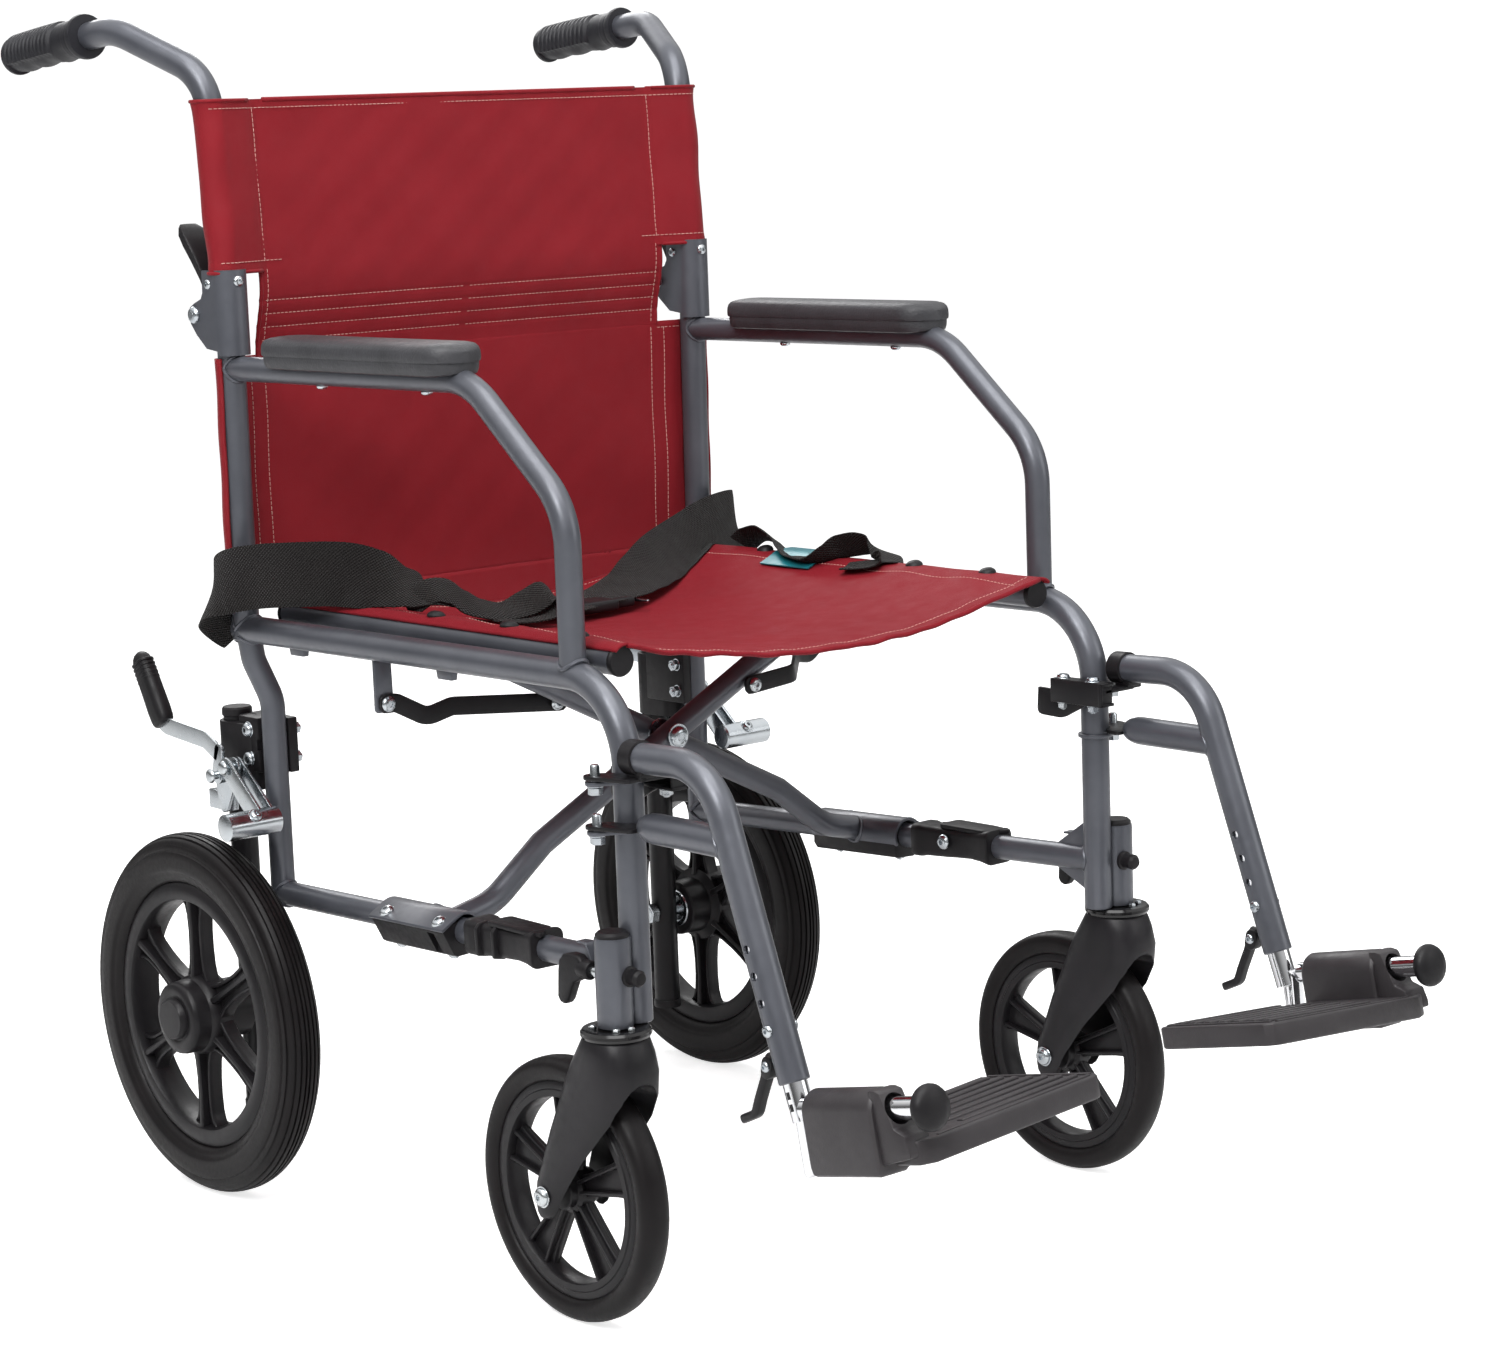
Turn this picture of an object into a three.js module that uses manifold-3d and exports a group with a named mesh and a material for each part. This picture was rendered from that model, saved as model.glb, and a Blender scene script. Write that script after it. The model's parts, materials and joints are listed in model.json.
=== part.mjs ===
// Folding transport wheelchair, in millimetres: +Z up, floor at z = 0, front is -Y.
// The seated person's right is -X and the mirror plane is X = 0. Paired pieces are built
// at +X, the left side, where +X is outboard; the right one is the mirror image.
import * as THREE from 'three';
import { mergeVertices } from 'three/addons/utils/BufferGeometryUtils.js';
import Module from 'manifold-3d';

const wasm = await Module();
wasm.setup();

// ---- driving dimensions ----
const MAIN_R = 11.2; // main frame tube, outside radius (7/8 inch tube)
const LIGHT_R = 10.1; // arm, lower rail and rear post tube, outside radius
const FRONT_POST = { x: 241, y: -150, bottom: 233 };
const BACK_POST = { x: 243, y: 341 }; // at seat height
const REAR_POST = { x: 226, y: 334 }; // inboard of the rear wheel
const UPPER_TUBE_Z = 481.5;
const LOWER_RAIL_Z = { rear: 255.5, front: 273 }; // at the rear and front posts
const ARM = { z: 691.5, frontY: -91.4 };
const REAR_WHEEL_R = 152.5;
const REAR_WHEEL = { x: 273, y: 390, z: REAR_WHEEL_R, width: 38, rimOuter: 112, rimInner: 97 };
const WHEEL_POST = { x: 225.6, y: REAR_WHEEL.y };
const CASTER = { x: 262, y: -150.4, trail: 57, radius: 100, width: 25 }; // x, y: stem axis
const CASTER_AXLE = { y: CASTER.y + CASTER.trail, z: CASTER.radius };
const CASTER_GAP = CASTER.width / 2 + 3; // caster centre plane to the inside of a fork leg
const BACK_HINGE = { y: 367, z: 735 };
const HANGER_PIN = { x: 267, y: -145 };
const HANGER_X = 250.4;
const LEG_END = [HANGER_X, -331, 223]; // lower end of the hanger leg
const LEG_DIR = [0, -0.348, -0.9375]; // down the hanger leg
const STUB = [257, -347, 208]; // point on the footplate stub axis, at the extension
const STUB_DIR = [0, -0.9792, 0.2028]; // forward along the footplate stub
const LATCH = { x: 221.5, y: -135.5 }; // latch paddle pivot
const BRACE_Y = { a: 96, b: 119.6 }; // planes of the two braces
const BRACE_PIVOT_Z = 382.5; // brace crossing
const FOLD_HINGE = { x: 233.4, z: 264.4 }; // brace lower hinge
const SEAT_RAIL = { x: 214, z: 490, rearY: 318, frontY: -113 };
const STAY_PIVOT = { x: 236, z: 434 }; // below the upper tube
const BRAKE_X = 249; // middle of the brake base plate
const LEVER_X = BRAKE_X + 3.5; // middle of the brake lever
const LEVER_PIVOT = { y: 382, z: 353 };
const SHOE_PIVOT = { y: 362, z: 362 };
const ORIGIN_Y = 56.9049; // the finished origin lies here, midway along the chair
// cane centre line: [x, y, z, bend radius]
const CANE = [
  [BACK_POST.x + 0.4, 337.4, 737],
  [245, 349, 925, 45],
  [279, 430, 966, 50],
  [282, 582, 951],
];
const X_AXIS = [1, 0, 0];
const Y_AXIS = [0, 1, 0];
const Z_AXIS = [0, 0, 1];

// ---- materials ----
const PAINT = { color: 0x55555c, roughness: 0.42, metalness: 0.35 };
const BLACK = { color: 0x1b1a1c, roughness: 0.55, metalness: 0 };
const ZINC = { color: 0xb9bcc0, roughness: 0.3, metalness: 1 };
const CHROME = { color: 0xd8d8da, roughness: 0.12, metalness: 1 };
const RUBBER = { color: 0x17161a, roughness: 0.85, metalness: 0 };
const RIM = { color: 0x26252a, roughness: 0.5, metalness: 0 };
const RED = { color: 0x8a2a33, roughness: 0.8, metalness: 0 };
const WEBBING = { color: 0x1c1a1b, roughness: 0.85, metalness: 0 };
const SATIN = { color: 0x242327, roughness: 0.45, metalness: 0.2 };

// ---- solids from geometry ----
const vec = ([x, y, z]) => new THREE.Vector3(x, y, z);
const basis = (...axes) => new THREE.Matrix4().makeBasis(...axes.map(vec));
const join = (...parts) => parts.reduce((a, b) => a.add(b));
const cut = (body, ...tools) => tools.reduce((a, b) => a.subtract(b), body);
const along = (point, dir, distance) => point.map((p, i) => p + dir[i] * distance);

// turn a closed geometry into a solid, its faces wound outward
function solid(geometry) {
  for (const key of Object.keys(geometry.attributes)) {
    if (key !== 'position') geometry.deleteAttribute(key);
  }
  const merged = mergeVertices(geometry, 1e-4);
  const points = new Float32Array(merged.attributes.position.array);
  const tris = new Uint32Array(merged.index.array);
  let volume = 0;
  for (let i = 0; i < tris.length; i += 3) {
    const [a, b, c] = [0, 1, 2].map((k) => vec(points.subarray(tris[i + k] * 3)));
    volume += a.dot(b.cross(c));
  }
  if (volume < 0) flipFaces(tris);
  return new wasm.Manifold(new wasm.Mesh({ numProp: 3, vertProperties: points, triVerts: tris }));
}

function flipFaces(tris) {
  for (let i = 0; i < tris.length; i += 3) [tris[i], tris[i + 1]] = [tris[i + 1], tris[i]];
}

// polyline through [x, y, z, bend radius] points; step is the arc step in degrees
function route(points, step) {
  const out = [vec(points[0])];
  for (let i = 1; i < points.length - 1; i++) {
    const corner = vec(points[i]);
    const toPrev = vec(points[i - 1]).sub(corner).normalize();
    const toNext = vec(points[i + 1]).sub(corner).normalize();
    const turn = Math.PI - toPrev.angleTo(toNext);
    const radius = points[i][3] || 0;
    if (!radius || turn < 0.02) {
      out.push(corner);
      continue;
    }
    const setback = radius * Math.tan(turn / 2);
    const centre = toPrev.clone().add(toNext).normalize()
      .multiplyScalar(radius / Math.cos(turn / 2)).add(corner);
    const start = toPrev.multiplyScalar(setback).add(corner).sub(centre);
    const end = toNext.multiplyScalar(setback).add(corner).sub(centre);
    const count = Math.max(2, Math.ceil(THREE.MathUtils.radToDeg(turn) / step));
    const axis = new THREE.Vector3().crossVectors(start, end).normalize();
    for (let k = 0; k <= count; k++) {
      out.push(start.clone().applyAxisAngle(axis, (turn * k) / count).add(centre));
    }
  }
  out.push(vec(points.at(-1)));
  return out;
}

// extrusion path through exact points, with frames that turn only as the path bends
class Path extends THREE.Curve {
  constructor(points, up) {
    super();
    this.points = points;
    this.up = up;
  }

  getSpacedPoints() {
    return this.points;
  }

  computeFrenetFrames() {
    const directions = this.points.slice(1).map((p, i) => p.clone().sub(this.points[i]).normalize());
    const tangents = this.points.map((_, i) => {
      const tangent = new THREE.Vector3();
      if (i > 0) tangent.add(directions[i - 1]);
      if (i < directions.length) tangent.add(directions[i]);
      return tangent.normalize();
    });
    const normals = [];
    const binormals = [];
    const normal = vec(this.up ?? (Math.abs(tangents[0].x) < 0.9 ? X_AXIS : Z_AXIS));
    tangents.forEach((tangent, i) => {
      if (i > 0) {
        const axis = new THREE.Vector3().crossVectors(tangents[i - 1], tangent);
        if (axis.length() > 1e-9) {
          normal.applyAxisAngle(axis.normalize(), tangents[i - 1].angleTo(tangent));
        }
      }
      normal.addScaledVector(tangent, -normal.dot(tangent)).normalize();
      normals.push(normal.clone());
      binormals.push(new THREE.Vector3().crossVectors(tangent, normal));
    });
    return { tangents, normals, binormals };
  }
}

// ---- sections ----
const shape = (points) => new THREE.Shape(points.map(([x, y]) => new THREE.Vector2(x, y)));
const ngon = (r, n) => shape(Array.from({ length: n }, (_, i) => {
  const angle = (2 * Math.PI * (i + 0.5)) / n;
  return [r * Math.cos(angle), r * Math.sin(angle)];
}));

function rectangle(width, height, radius) {
  const x = width / 2 - radius;
  const y = height / 2 - radius;
  const corners = [[x, y, 0], [-x, y, 90], [-x, -y, 180], [x, -y, 270]]; // x, y, start angle
  if (!radius) return shape(corners);
  return shape(corners.flatMap(([cx, cy, start]) => [0, 45, 90].map((turn) => {
    const angle = THREE.MathUtils.degToRad(start + turn);
    return [cx + radius * Math.cos(angle), cy + radius * Math.sin(angle)];
  })));
}

// ---- building forms ----
function sweep(points, section, up) {
  return solid(new THREE.ExtrudeGeometry(section, {
    steps: points.length - 1,
    extrudePath: new Path(points, up),
    bevelEnabled: false,
    curveSegments: 1,
  }));
}
const tube = (points, r, n = 10, step = 26) => sweep(route(points, step), ngon(r, n));
const rod = (a, b, r, n = 10) => sweep([vec(a), vec(b)], ngon(r, n));
// rods parallel to one axis
const rodX = (x0, x1, y, z, r, n) => rod([x0, y, z], [x1, y, z], r, n);
const rodY = (x, y0, y1, z, r, n) => rod([x, y0, z], [x, y1, z], r, n);
const rodZ = (x, y, z0, z1, r, n) => rod([x, y, z0], [x, y, z1], r, n);
// rectangular sections whose width lies along `up`: a straight bar and a bent strip
const bar = (a, b, width, height, up, radius = 0) =>
  sweep([vec(a), vec(b)], rectangle(width, height, radius), up);
const strip = (points, width, height, up) =>
  sweep(route(points, 24), rectangle(width, height, 0), up);

// outline columns are (y, z) for axis x, (z, x) for axis y and (x, y) for axis z
const SLAB_BASIS = {
  x: basis(Y_AXIS, Z_AXIS, X_AXIS),
  y: basis(Z_AXIS, X_AXIS, Y_AXIS),
  z: basis(X_AXIS, Y_AXIS, Z_AXIS),
};
function slab(outline, axis, low, high) {
  const settings = { depth: high - low, bevelEnabled: false };
  const geometry = new THREE.ExtrudeGeometry(shape(outline), settings);
  geometry.translate(0, 0, low);
  return solid(geometry.applyMatrix4(SLAB_BASIS[axis]));
}
const block = (x0, x1, y0, y1, z0, z1) =>
  slab([[x0, y0], [x1, y0], [x1, y1], [x0, y1]], 'z', z0, z1);

// convex outline around circles [x, y, radius] of n points each
function hull(circles, n = 12) {
  const points = circles.flatMap(([x, y, r]) => Array.from({ length: n }, (_, i) => {
    const angle = (2 * Math.PI * i) / n;
    return [x + r * Math.cos(angle), y + r * Math.sin(angle)];
  }));
  points.sort((a, b) => a[0] - b[0] || a[1] - b[1]);
  const cross = (o, a, b) => (a[0] - o[0]) * (b[1] - o[1]) - (a[1] - o[1]) * (b[0] - o[0]);
  const chain = (sorted) => {
    const out = [];
    for (const p of sorted) {
      while (out.length > 1 && cross(out.at(-2), out.at(-1), p) <= 1e-9) out.pop();
      out.push(p);
    }
    out.pop();
    return out;
  };
  return [...chain(points), ...chain([...points].reverse())];
}

// ring about an X axis, from a closed profile of [radius, x offset]
function ring(profile, x, y, z, n) {
  const points = [...profile, profile[0]].map(([r, offset]) => new THREE.Vector2(r, offset));
  const geometry = new THREE.LatheGeometry(points, n);
  geometry.applyMatrix4(SLAB_BASIS.y);
  return solid(geometry.translate(x, y, z));
}

// x range on one side (+1 left, -1 right), low value first
const sideRange = (side, inner, outer) => (side > 0 ? [inner, outer] : [-outer, -inner]);

// ---- meshes ----
const group = new THREE.Group();
group.name = 'transport_wheelchair';

function put(name, body, material, mirror = false) {
  const { numProp, vertProperties, triVerts } = body.getMesh();
  const count = vertProperties.length / numProp;
  const position = new Float32Array(count * 3);
  const index = new Uint32Array(triVerts);
  for (let i = 0; i < count; i++) {
    const [x, y, z] = vertProperties.subarray(i * numProp);
    position.set([mirror ? -x : x, y - ORIGIN_Y, z], i * 3);
  }
  if (mirror) flipFaces(index);
  const geometry = new THREE.BufferGeometry();
  geometry.setAttribute('position', new THREE.BufferAttribute(position, 3));
  geometry.setIndex(new THREE.BufferAttribute(index, 1));
  geometry.computeVertexNormals();
  const mesh = new THREE.Mesh(geometry, new THREE.MeshStandardMaterial(material));
  mesh.name = name;
  group.add(mesh);
}

function pair(name, body, material) {
  put(`${name}_r`, body, material, true);
  put(`${name}_l`, body, material);
}

// ---- side frame ----
// point on the lower rail axis at a given y
function lowerRail(y, side = 1) {
  const t = (y - REAR_POST.y) / (FRONT_POST.y - REAR_POST.y);
  const x = REAR_POST.x + (FRONT_POST.x - REAR_POST.x) * t;
  return [side * x, y, LOWER_RAIL_Z.rear + (LOWER_RAIL_Z.front - LOWER_RAIL_Z.rear) * t];
}

const backPost = (top, r) =>
  rod([BACK_POST.x + 0.6, 338, top], [BACK_POST.x, BACK_POST.y, 474], r, 12);

function sideFrame() {
  const { x, y, bottom } = FRONT_POST;
  const back = BACK_POST;
  const rear = REAR_POST;
  const frontGusset = [
    [-146, 303], [-138, 303], [-106, 281], [-106, 261], [-138, 246], [-146, 246],
  ];
  const rearGusset = [[330, 248], [338, 248], [338, 290], [326, 266], [300, 262], [300, 250]];
  const knobWing = [
    [-117.5, 264.5], [-117.5, 276], [-104, 279.5], [-92, 276], [-88.5, 270],
    [-87, 243], [-94, 240.5], [-101, 246], [-107, 259],
  ];
  let frame = join(
    // upper side tube, bent down into the front post
    tube([[back.x - 0.5, back.y + 2, 478.5], [x, y, UPPER_TUBE_Z, 62], [x, y, bottom]], MAIN_R, 12),
    backPost(712, MAIN_R),
    // rear post
    tube([
      [back.x - 1, 340, 478], [239, 338.5, 452, 30],
      [rear.x, rear.y, 418, 40], [rear.x, rear.y, LOWER_RAIL_Z.rear - 4],
    ], LIGHT_R),
    // lower rail
    rod([rear.x, rear.y + 4, LOWER_RAIL_Z.rear - 0.2], [x, y, LOWER_RAIL_Z.front], LIGHT_R),
    // arm
    tube([
      [back.x, 338, ARM.z], [x + 0.8, 16.7, ARM.z, 70],
      [x, ARM.frontY, 601.8, 60], [x, ARM.frontY, UPPER_TUBE_Z + 1],
    ], LIGHT_R),
    // caster housing
    rodZ(CASTER.x, CASTER.y, bottom, 299, 13.5, 14),
    slab(frontGusset, 'x', x - 1.5, x + 1.5),
    slab(rearGusset, 'x', rear.x - 1.5, rear.x + 1.5),
  );
  // hanger lugs on the front post, each with a headed pin
  const pin = HANGER_PIN;
  for (const z of [374, 410]) {
    frame = join(
      frame,
      slab(hull([[x, y, MAIN_R + 2.6], [pin.x, pin.y, 7.5]], 14), 'z', z, z + 3),
      rodZ(pin.x, pin.y, z - 7, z + 15, 3.6, 12),
      rodZ(pin.x, pin.y, z - 7, z - 0.5, 5.6, 6),
    );
  }
  frame = join(
    frame,
    // wing knob of the stem clamp, behind the caster housing
    rodY(CASTER.x, -140, -119, 270, 3.6, 10),
    rodY(CASTER.x, -126, -116, 270, 6.6, 12),
    slab(knobWing, 'x', CASTER.x - 4.6, CASTER.x + 4.6),
    // housing cap
    rodZ(CASTER.x, CASTER.y, 298, 303.5, 12.6, 14),
    // hanging tab for the stay
    slab([[474, 229], [474, 245], [427, 244], [427, 228]], 'y', 156.5, 159.5),
  );
  return cut(
    frame,
    rodZ(CASTER.x, CASTER.y, bottom - 5, 290, 6.4, 14),
    rodY(STAY_PIVOT.x, 150, 166, STAY_PIVOT.z, 3.5, 10),
  );
}

// channel closed at the front and open at the rear, with a pivot ear on each cheek
function hingeBracket() {
  const x = BACK_POST.x + 0.3;
  const channel = (r, y, rearY) => [
    ...Array.from({ length: 11 }, (_, i) => {
      const angle = Math.PI + (Math.PI * i) / 10;
      return [x + r * Math.cos(angle), y + r * Math.sin(angle)];
    }),
    [x + r, rearY], [x - r, rearY],
  ];
  const sideOutline = [
    [320, 690], [335, 690], [336, 706], [352, 708], [374, 728],
    [375, 740], [368, 744], [354, 752], [353, 772], [320, 772],
  ];
  const body = slab(channel(14.4, 336, 378), 'z', 702.4, 770);
  return cut(
    body.intersect(slab(sideOutline, 'x', 200, 280)),
    slab(channel(MAIN_R + 0.35, 336.6, 390), 'z', 690, 780),
    rodX(200, 300, BACK_HINGE.y, BACK_HINGE.z, 4.3, 12),
    backPost(713.4, MAIN_R + 0.5),
  );
}

// side outline crossed with the outline seen from above
function armPad() {
  const { x } = FRONT_POST;
  const side = hull([
    [28, 703.7, 1.5], [264, 703.7, 1.5], [30, 713, 7],
    [262, 713, 7], [24, 711, 4], [267, 711, 4],
  ], 10);
  const plan = hull([[x - 10, 36, 15], [x + 11, 36, 15], [x - 10, 254, 16], [x + 11, 254, 16]]);
  return slab(side, 'x', x - 24, x + 27).intersect(slab(plan, 'z', 690, 740));
}

// ---- rear wheel and its post ----
function wheelPost() {
  const { x, y } = WHEEL_POST;
  const post = join(rodZ(x, y, 66, 400, 11.6, 14), rodZ(x, y, 399, 407, 12.6, 14)); // tube, cap
  return cut(post, rodX(190, 250, REAR_WHEEL.y, REAR_WHEEL.z, 6.3, 12));
}

// split clamp that bolts the wheel post to the rear post
function wheelPostBracket() {
  const { x, y } = WHEEL_POST;
  let bracket = join(
    slab(hull([[x, y, 15], [x, y - 24, 13]], 14), 'z', 340, 396),
    block(x - 14, x + 14, REAR_POST.y - 16, y - 12, 348, 392),
  );
  for (const z of [358, 381]) {
    bracket = join(
      bracket,
      rodX(x + 12, x + 19, 362, z, 5.2, 8),
      rodY(x + 8, REAR_POST.y - 21, REAR_POST.y - 14, z, 4.6, 6),
    );
  }
  return cut(
    bracket,
    rodZ(x, y, 300, 420, 11.9, 14),
    rodZ(REAR_POST.x, REAR_POST.y, 300, 420, LIGHT_R + 0.35, 14),
    block(x - 1, x + 1, 346, 377, 300, 420),
  );
}

function rearAxle() {
  const { y, z } = REAR_WHEEL;
  return join(rodX(206, 300, y, z, 6, 12), rodX(205, 213, y, z, 9.5, 6));
}

function rearTyre() {
  const { x, y, z, width, rimOuter } = REAR_WHEEL;
  const half = width / 2;
  return ring([
    [rimOuter + 0.3, -12], [120, -half + 1.5], [136, -half], [147.5, -half + 6],
    [REAR_WHEEL_R, -6], [REAR_WHEEL_R, 6],
    [147.5, half - 6], [136, half], [120, half - 1.5], [rimOuter + 0.3, 12],
  ], x, y, z, 28);
}

function rearRim() {
  const { x, y, z, rimOuter, rimInner } = REAR_WHEEL;
  let rim = join(
    ring([
      [rimInner, -14], [rimOuter - 4, -15], [rimOuter, -12],
      [rimOuter, 12], [rimOuter - 4, 15], [rimInner, 14],
    ], x, y, z, 28),
    // hub and the two stepped discs on its outboard end
    rodX(x - 33, x + 24, y, z, 24, 14),
    rodX(x + 20, x + 31, y, z, 30, 18),
    rodX(x + 29, x + 36, y, z, 17, 14),
  );
  for (let i = 0; i < 6; i++) {
    const angle = (Math.PI * (i * 60 + 30)) / 180;
    const spoke = (r) => [x + 2, y + r * Math.cos(angle), z + r * Math.sin(angle)];
    rim = rim.add(bar(spoke(18), spoke(99), 20, 12, X_AXIS));
  }
  return cut(rim, rodX(x - 60, x + 29, y, z, 6.4, 12));
}

// ---- caster: the fork turns in the housing, the wheel turns in the fork ----
function casterFork() {
  const { x, y, radius } = CASTER;
  const axle = CASTER_AXLE;
  const gap = CASTER_GAP;
  const legWidth = 6;
  const outer = gap + legWidth;
  let fork = join(
    // crown and stem
    rodZ(x, y, 215, 229, 23, 18),
    rodZ(x, y, 228, 286, 6, 12),
    rodZ(x, y, 228, 232.4, 10, 12),
    slab(hull([[y - 8, 213, 12], [y + 12, 210, 15]]), 'x', x - outer, x + outer),
  );
  const knee = [axle.y - 6, axle.z + 42, 15];
  const upperLeg = hull([[y - 6, 208, 14], [y + 14, 206, 16], knee]);
  const lowerLeg = hull([knee, [axle.y, axle.z, 13.5]]);
  for (const start of [x - outer, x + gap]) {
    fork = join(
      fork,
      slab(upperLeg, 'x', start, start + legWidth),
      slab(lowerLeg, 'x', start, start + legWidth),
    );
  }
  // room for the wheel
  const half = gap - 0.1;
  const space = [[3, -half], [radius + 5, -half], [radius + 5, half], [3, half]];
  fork = cut(fork, ring(space, x, axle.y, axle.z, 20));
  return join(
    fork,
    // axle and its ends
    rodX(x - gap - 9, x + gap + 9, axle.y, axle.z, 4, 12),
    rodX(x - gap - 10, x - gap - 5.5, axle.y, axle.z, 6.5, 8),
    rodX(x + gap + 5.5, x + gap + 10, axle.y, axle.z, 6.5, 8),
  );
}

function casterTyre() {
  const { x, radius } = CASTER;
  return ring([
    [82.3, -9], [90, -12], [97, -9.5], [radius, -3.5],
    [radius, 3.5], [97, 9.5], [90, 12], [82.3, 9],
  ], x, CASTER_AXLE.y, CASTER_AXLE.z, 24);
}

// rim with five pairs of splayed spokes
function casterRim() {
  const { x } = CASTER;
  const { y, z } = CASTER_AXLE;
  let rim = join(
    ring([[75, -10], [82, -8.5], [82, 8.5], [75, 10]], x, y, z, 24),
    rodX(x - CASTER_GAP + 1.5, x + CASTER_GAP - 1.5, y, z, 14, 16),
  );
  const polar = (r, angle) => [x, y + r * Math.cos(angle), z + r * Math.sin(angle)];
  for (let i = 0; i < 5; i++) {
    for (const splay of [-9, 9]) {
      const angle = (Math.PI * (i * 72 + 90)) / 180;
      const tip = polar(78, angle + (Math.PI * splay) / 180);
      rim = rim.add(bar(polar(8, angle), tip, 12, 5, X_AXIS));
    }
  }
  return cut(rim, rodX(x - 40, x + 40, y, z, 4.4, 12));
}

// ---- folding braces ----
// lower end on `side` (+1 left, -1 right), upper end and its seat rail on the other
function brace(y, side) {
  const rise = BRACE_PIVOT_Z - FOLD_HINGE.z;
  const lower = Math.hypot(FOLD_HINGE.x, rise); // hinge to crossing
  const total = lower + 214;
  const onBrace = (distance) => [
    side * (FOLD_HINGE.x - (distance * FOLD_HINGE.x) / lower),
    y,
    FOLD_HINGE.z + (distance * rise) / lower,
  ];
  const railX = -side * SEAT_RAIL.x;
  const plate = hull([[75, 252, 3], [163, 252, 3], [78, 282, 2], [160, 282, 2]], 8);
  const body = join(
    tube([
      [side * (FOLD_HINGE.x - 4), y, FOLD_HINGE.z + 1],
      [side * (FOLD_HINGE.x - 48), y, FOLD_HINGE.z + 11, 60],
      onBrace(110), onBrace(total),
    ], LIGHT_R),
    rod(onBrace(total - 14), [railX, y, SEAT_RAIL.z], LIGHT_R),
    rodY(railX, SEAT_RAIL.frontY, SEAT_RAIL.rearY, SEAT_RAIL.z, MAIN_R, 14),
    // sleeve round the lower rail, with an outboard plate and a top plate
    rod(lowerRail(72, side), lowerRail(166, side), 15.6, 14),
    slab(plate, 'x', ...sideRange(side, 246.8, 250)),
    block(side * 228, side * 250, 76, 162, 279.6, 283),
  );
  return cut(
    body,
    rod(lowerRail(40, side), lowerRail(200, side), 13.2, 14),
    rodY(0, y - 30, y + 30, BRACE_PIVOT_Z, 4.4, 12),
  );
}

function braceBolt() {
  const { a, b } = BRACE_Y;
  return join(
    rodY(0, a - 16, b + 16, BRACE_PIVOT_Z, 4, 12),
    rodY(0, a - 17.5, a - 11.2, BRACE_PIVOT_Z, 8.5, 12),
    rodY(0, b + 11.2, b + 17.5, BRACE_PIVOT_Z, 7.5, 6),
  );
}

// stay from the hanging tab to a brace; rivet is [x, y0, y1, z]
function stay(points, [rivetX, rivetY0, rivetY1, rivetZ]) {
  const { x, z } = STAY_PIVOT;
  return join(
    strip([[x + 6, 154.3, z], [x - 8, 154.3, z, 12], ...points], 15, 3, [0, 0.05, 1]),
    // bolt, head and nut at the tab
    rodY(x, 151.8, 164, z, 3, 10),
    rodY(x, 149.2, 153.2, z, 6, 10),
    rodY(x, 160.4, 163.8, z, 5.6, 6),
    rodY(rivetX, rivetY0, rivetY1, rivetZ, 6.5, 8),
  );
}
// [x, y, z, bend radius]; the right stay lies behind its brace, the left one in front
const STAY_RIGHT = [[200, 152.6, 419, 18], [178, 149, 425, 18], [80, 133.2, 416.5]];
const STAY_LEFT = [[200, 147, 419, 18], [178, 138, 423, 18], [126, 84, 418, 18], [74, 82.6, 414]];

// clip block on the lower rail
function railClip() {
  const body = cut(
    bar(lowerRail(50), lowerRail(-42), 34, 30, X_AXIS, 5),
    rod(lowerRail(80), lowerRail(-80), LIGHT_R + 0.4, 14),
    block(REAR_POST.x - 30, FRONT_POST.x - 4, -60, 70, 270.5, 300),
  );
  const plate = hull([[232, 34, 4], [246, 34, 4], [238, -32, 5], [246, -32, 5]], 8);
  return join(body, slab(plate, 'z', 284.4, 287.4), block(248, 252, -30, 30, 262, 286));
}

// ---- hanger, extension, footplate ----
const onLeg = (distance) => along(LEG_END, LEG_DIR, distance);
const onStub = (distance) => along(STUB, STUB_DIR, distance);

function hanger() {
  const pin = HANGER_PIN;
  let body = join(
    tube([[HANGER_X, -163.6, 430.5], [HANGER_X, -253, 433.5, 52], LEG_END], MAIN_R, 12, 18),
    rodY(HANGER_X, -166, -271, 380.5, LIGHT_R, 12),
  );
  const lug = hull([[pin.x, pin.y, 8.5], [262, -176, 4], [240, -176, 4], [240, -168, 3]]);
  for (const z of [378.4, 414.4]) body = body.add(slab(lug, 'z', z, z + 3));
  body = join(
    body,
    block(244, 257, -185, -170, 417, 424),
    // latch bracket: a channel inboard of the front post, open towards the post
    slab(hull([[250, -177, 6], [220, -177, 6]]), 'z', 414.4, 417.4),
    block(213, 227, -184, -128, 404, 423),
  );
  body = cut(
    body,
    block(215.5, 229, -165, -120, 407, 420),
    rodZ(FRONT_POST.x, FRONT_POST.y, 340, 470, MAIN_R + 0.9, 18),
    rodZ(pin.x, pin.y, 375, 386, 4.1, 14),
    rodZ(pin.x, pin.y, 411, 422, 4.1, 14),
    rod(onLeg(8), onLeg(-128), 9.4, 12), // leg bore
  );
  // row of cross holes up the leg
  for (let i = 0; i < 4; i++) {
    const [x, y, z] = onLeg(-38 - 19.2 * i);
    body = cut(body, rodX(x - 30, x + 30, y, z, 3.2, 8));
  }
  return body;
}

// swing-away latch: a paddle hanging in the inboard bracket of the hanger
function hangerLatch() {
  const { x, y } = LATCH;
  const paddle = [
    [-106.5, 412], [-106, 395], [-111, 391], [-133, 390.6], [-158, 403.2],
    [-127, 403.2], [-127, 407.6], [-135.5, 407.6], [-135.5, 412],
  ];
  return join(slab(paddle, 'x', x - 1.5, x + 1.5), rodZ(x, y, 407.5, 419.5, 4.2, 12));
}

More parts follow.
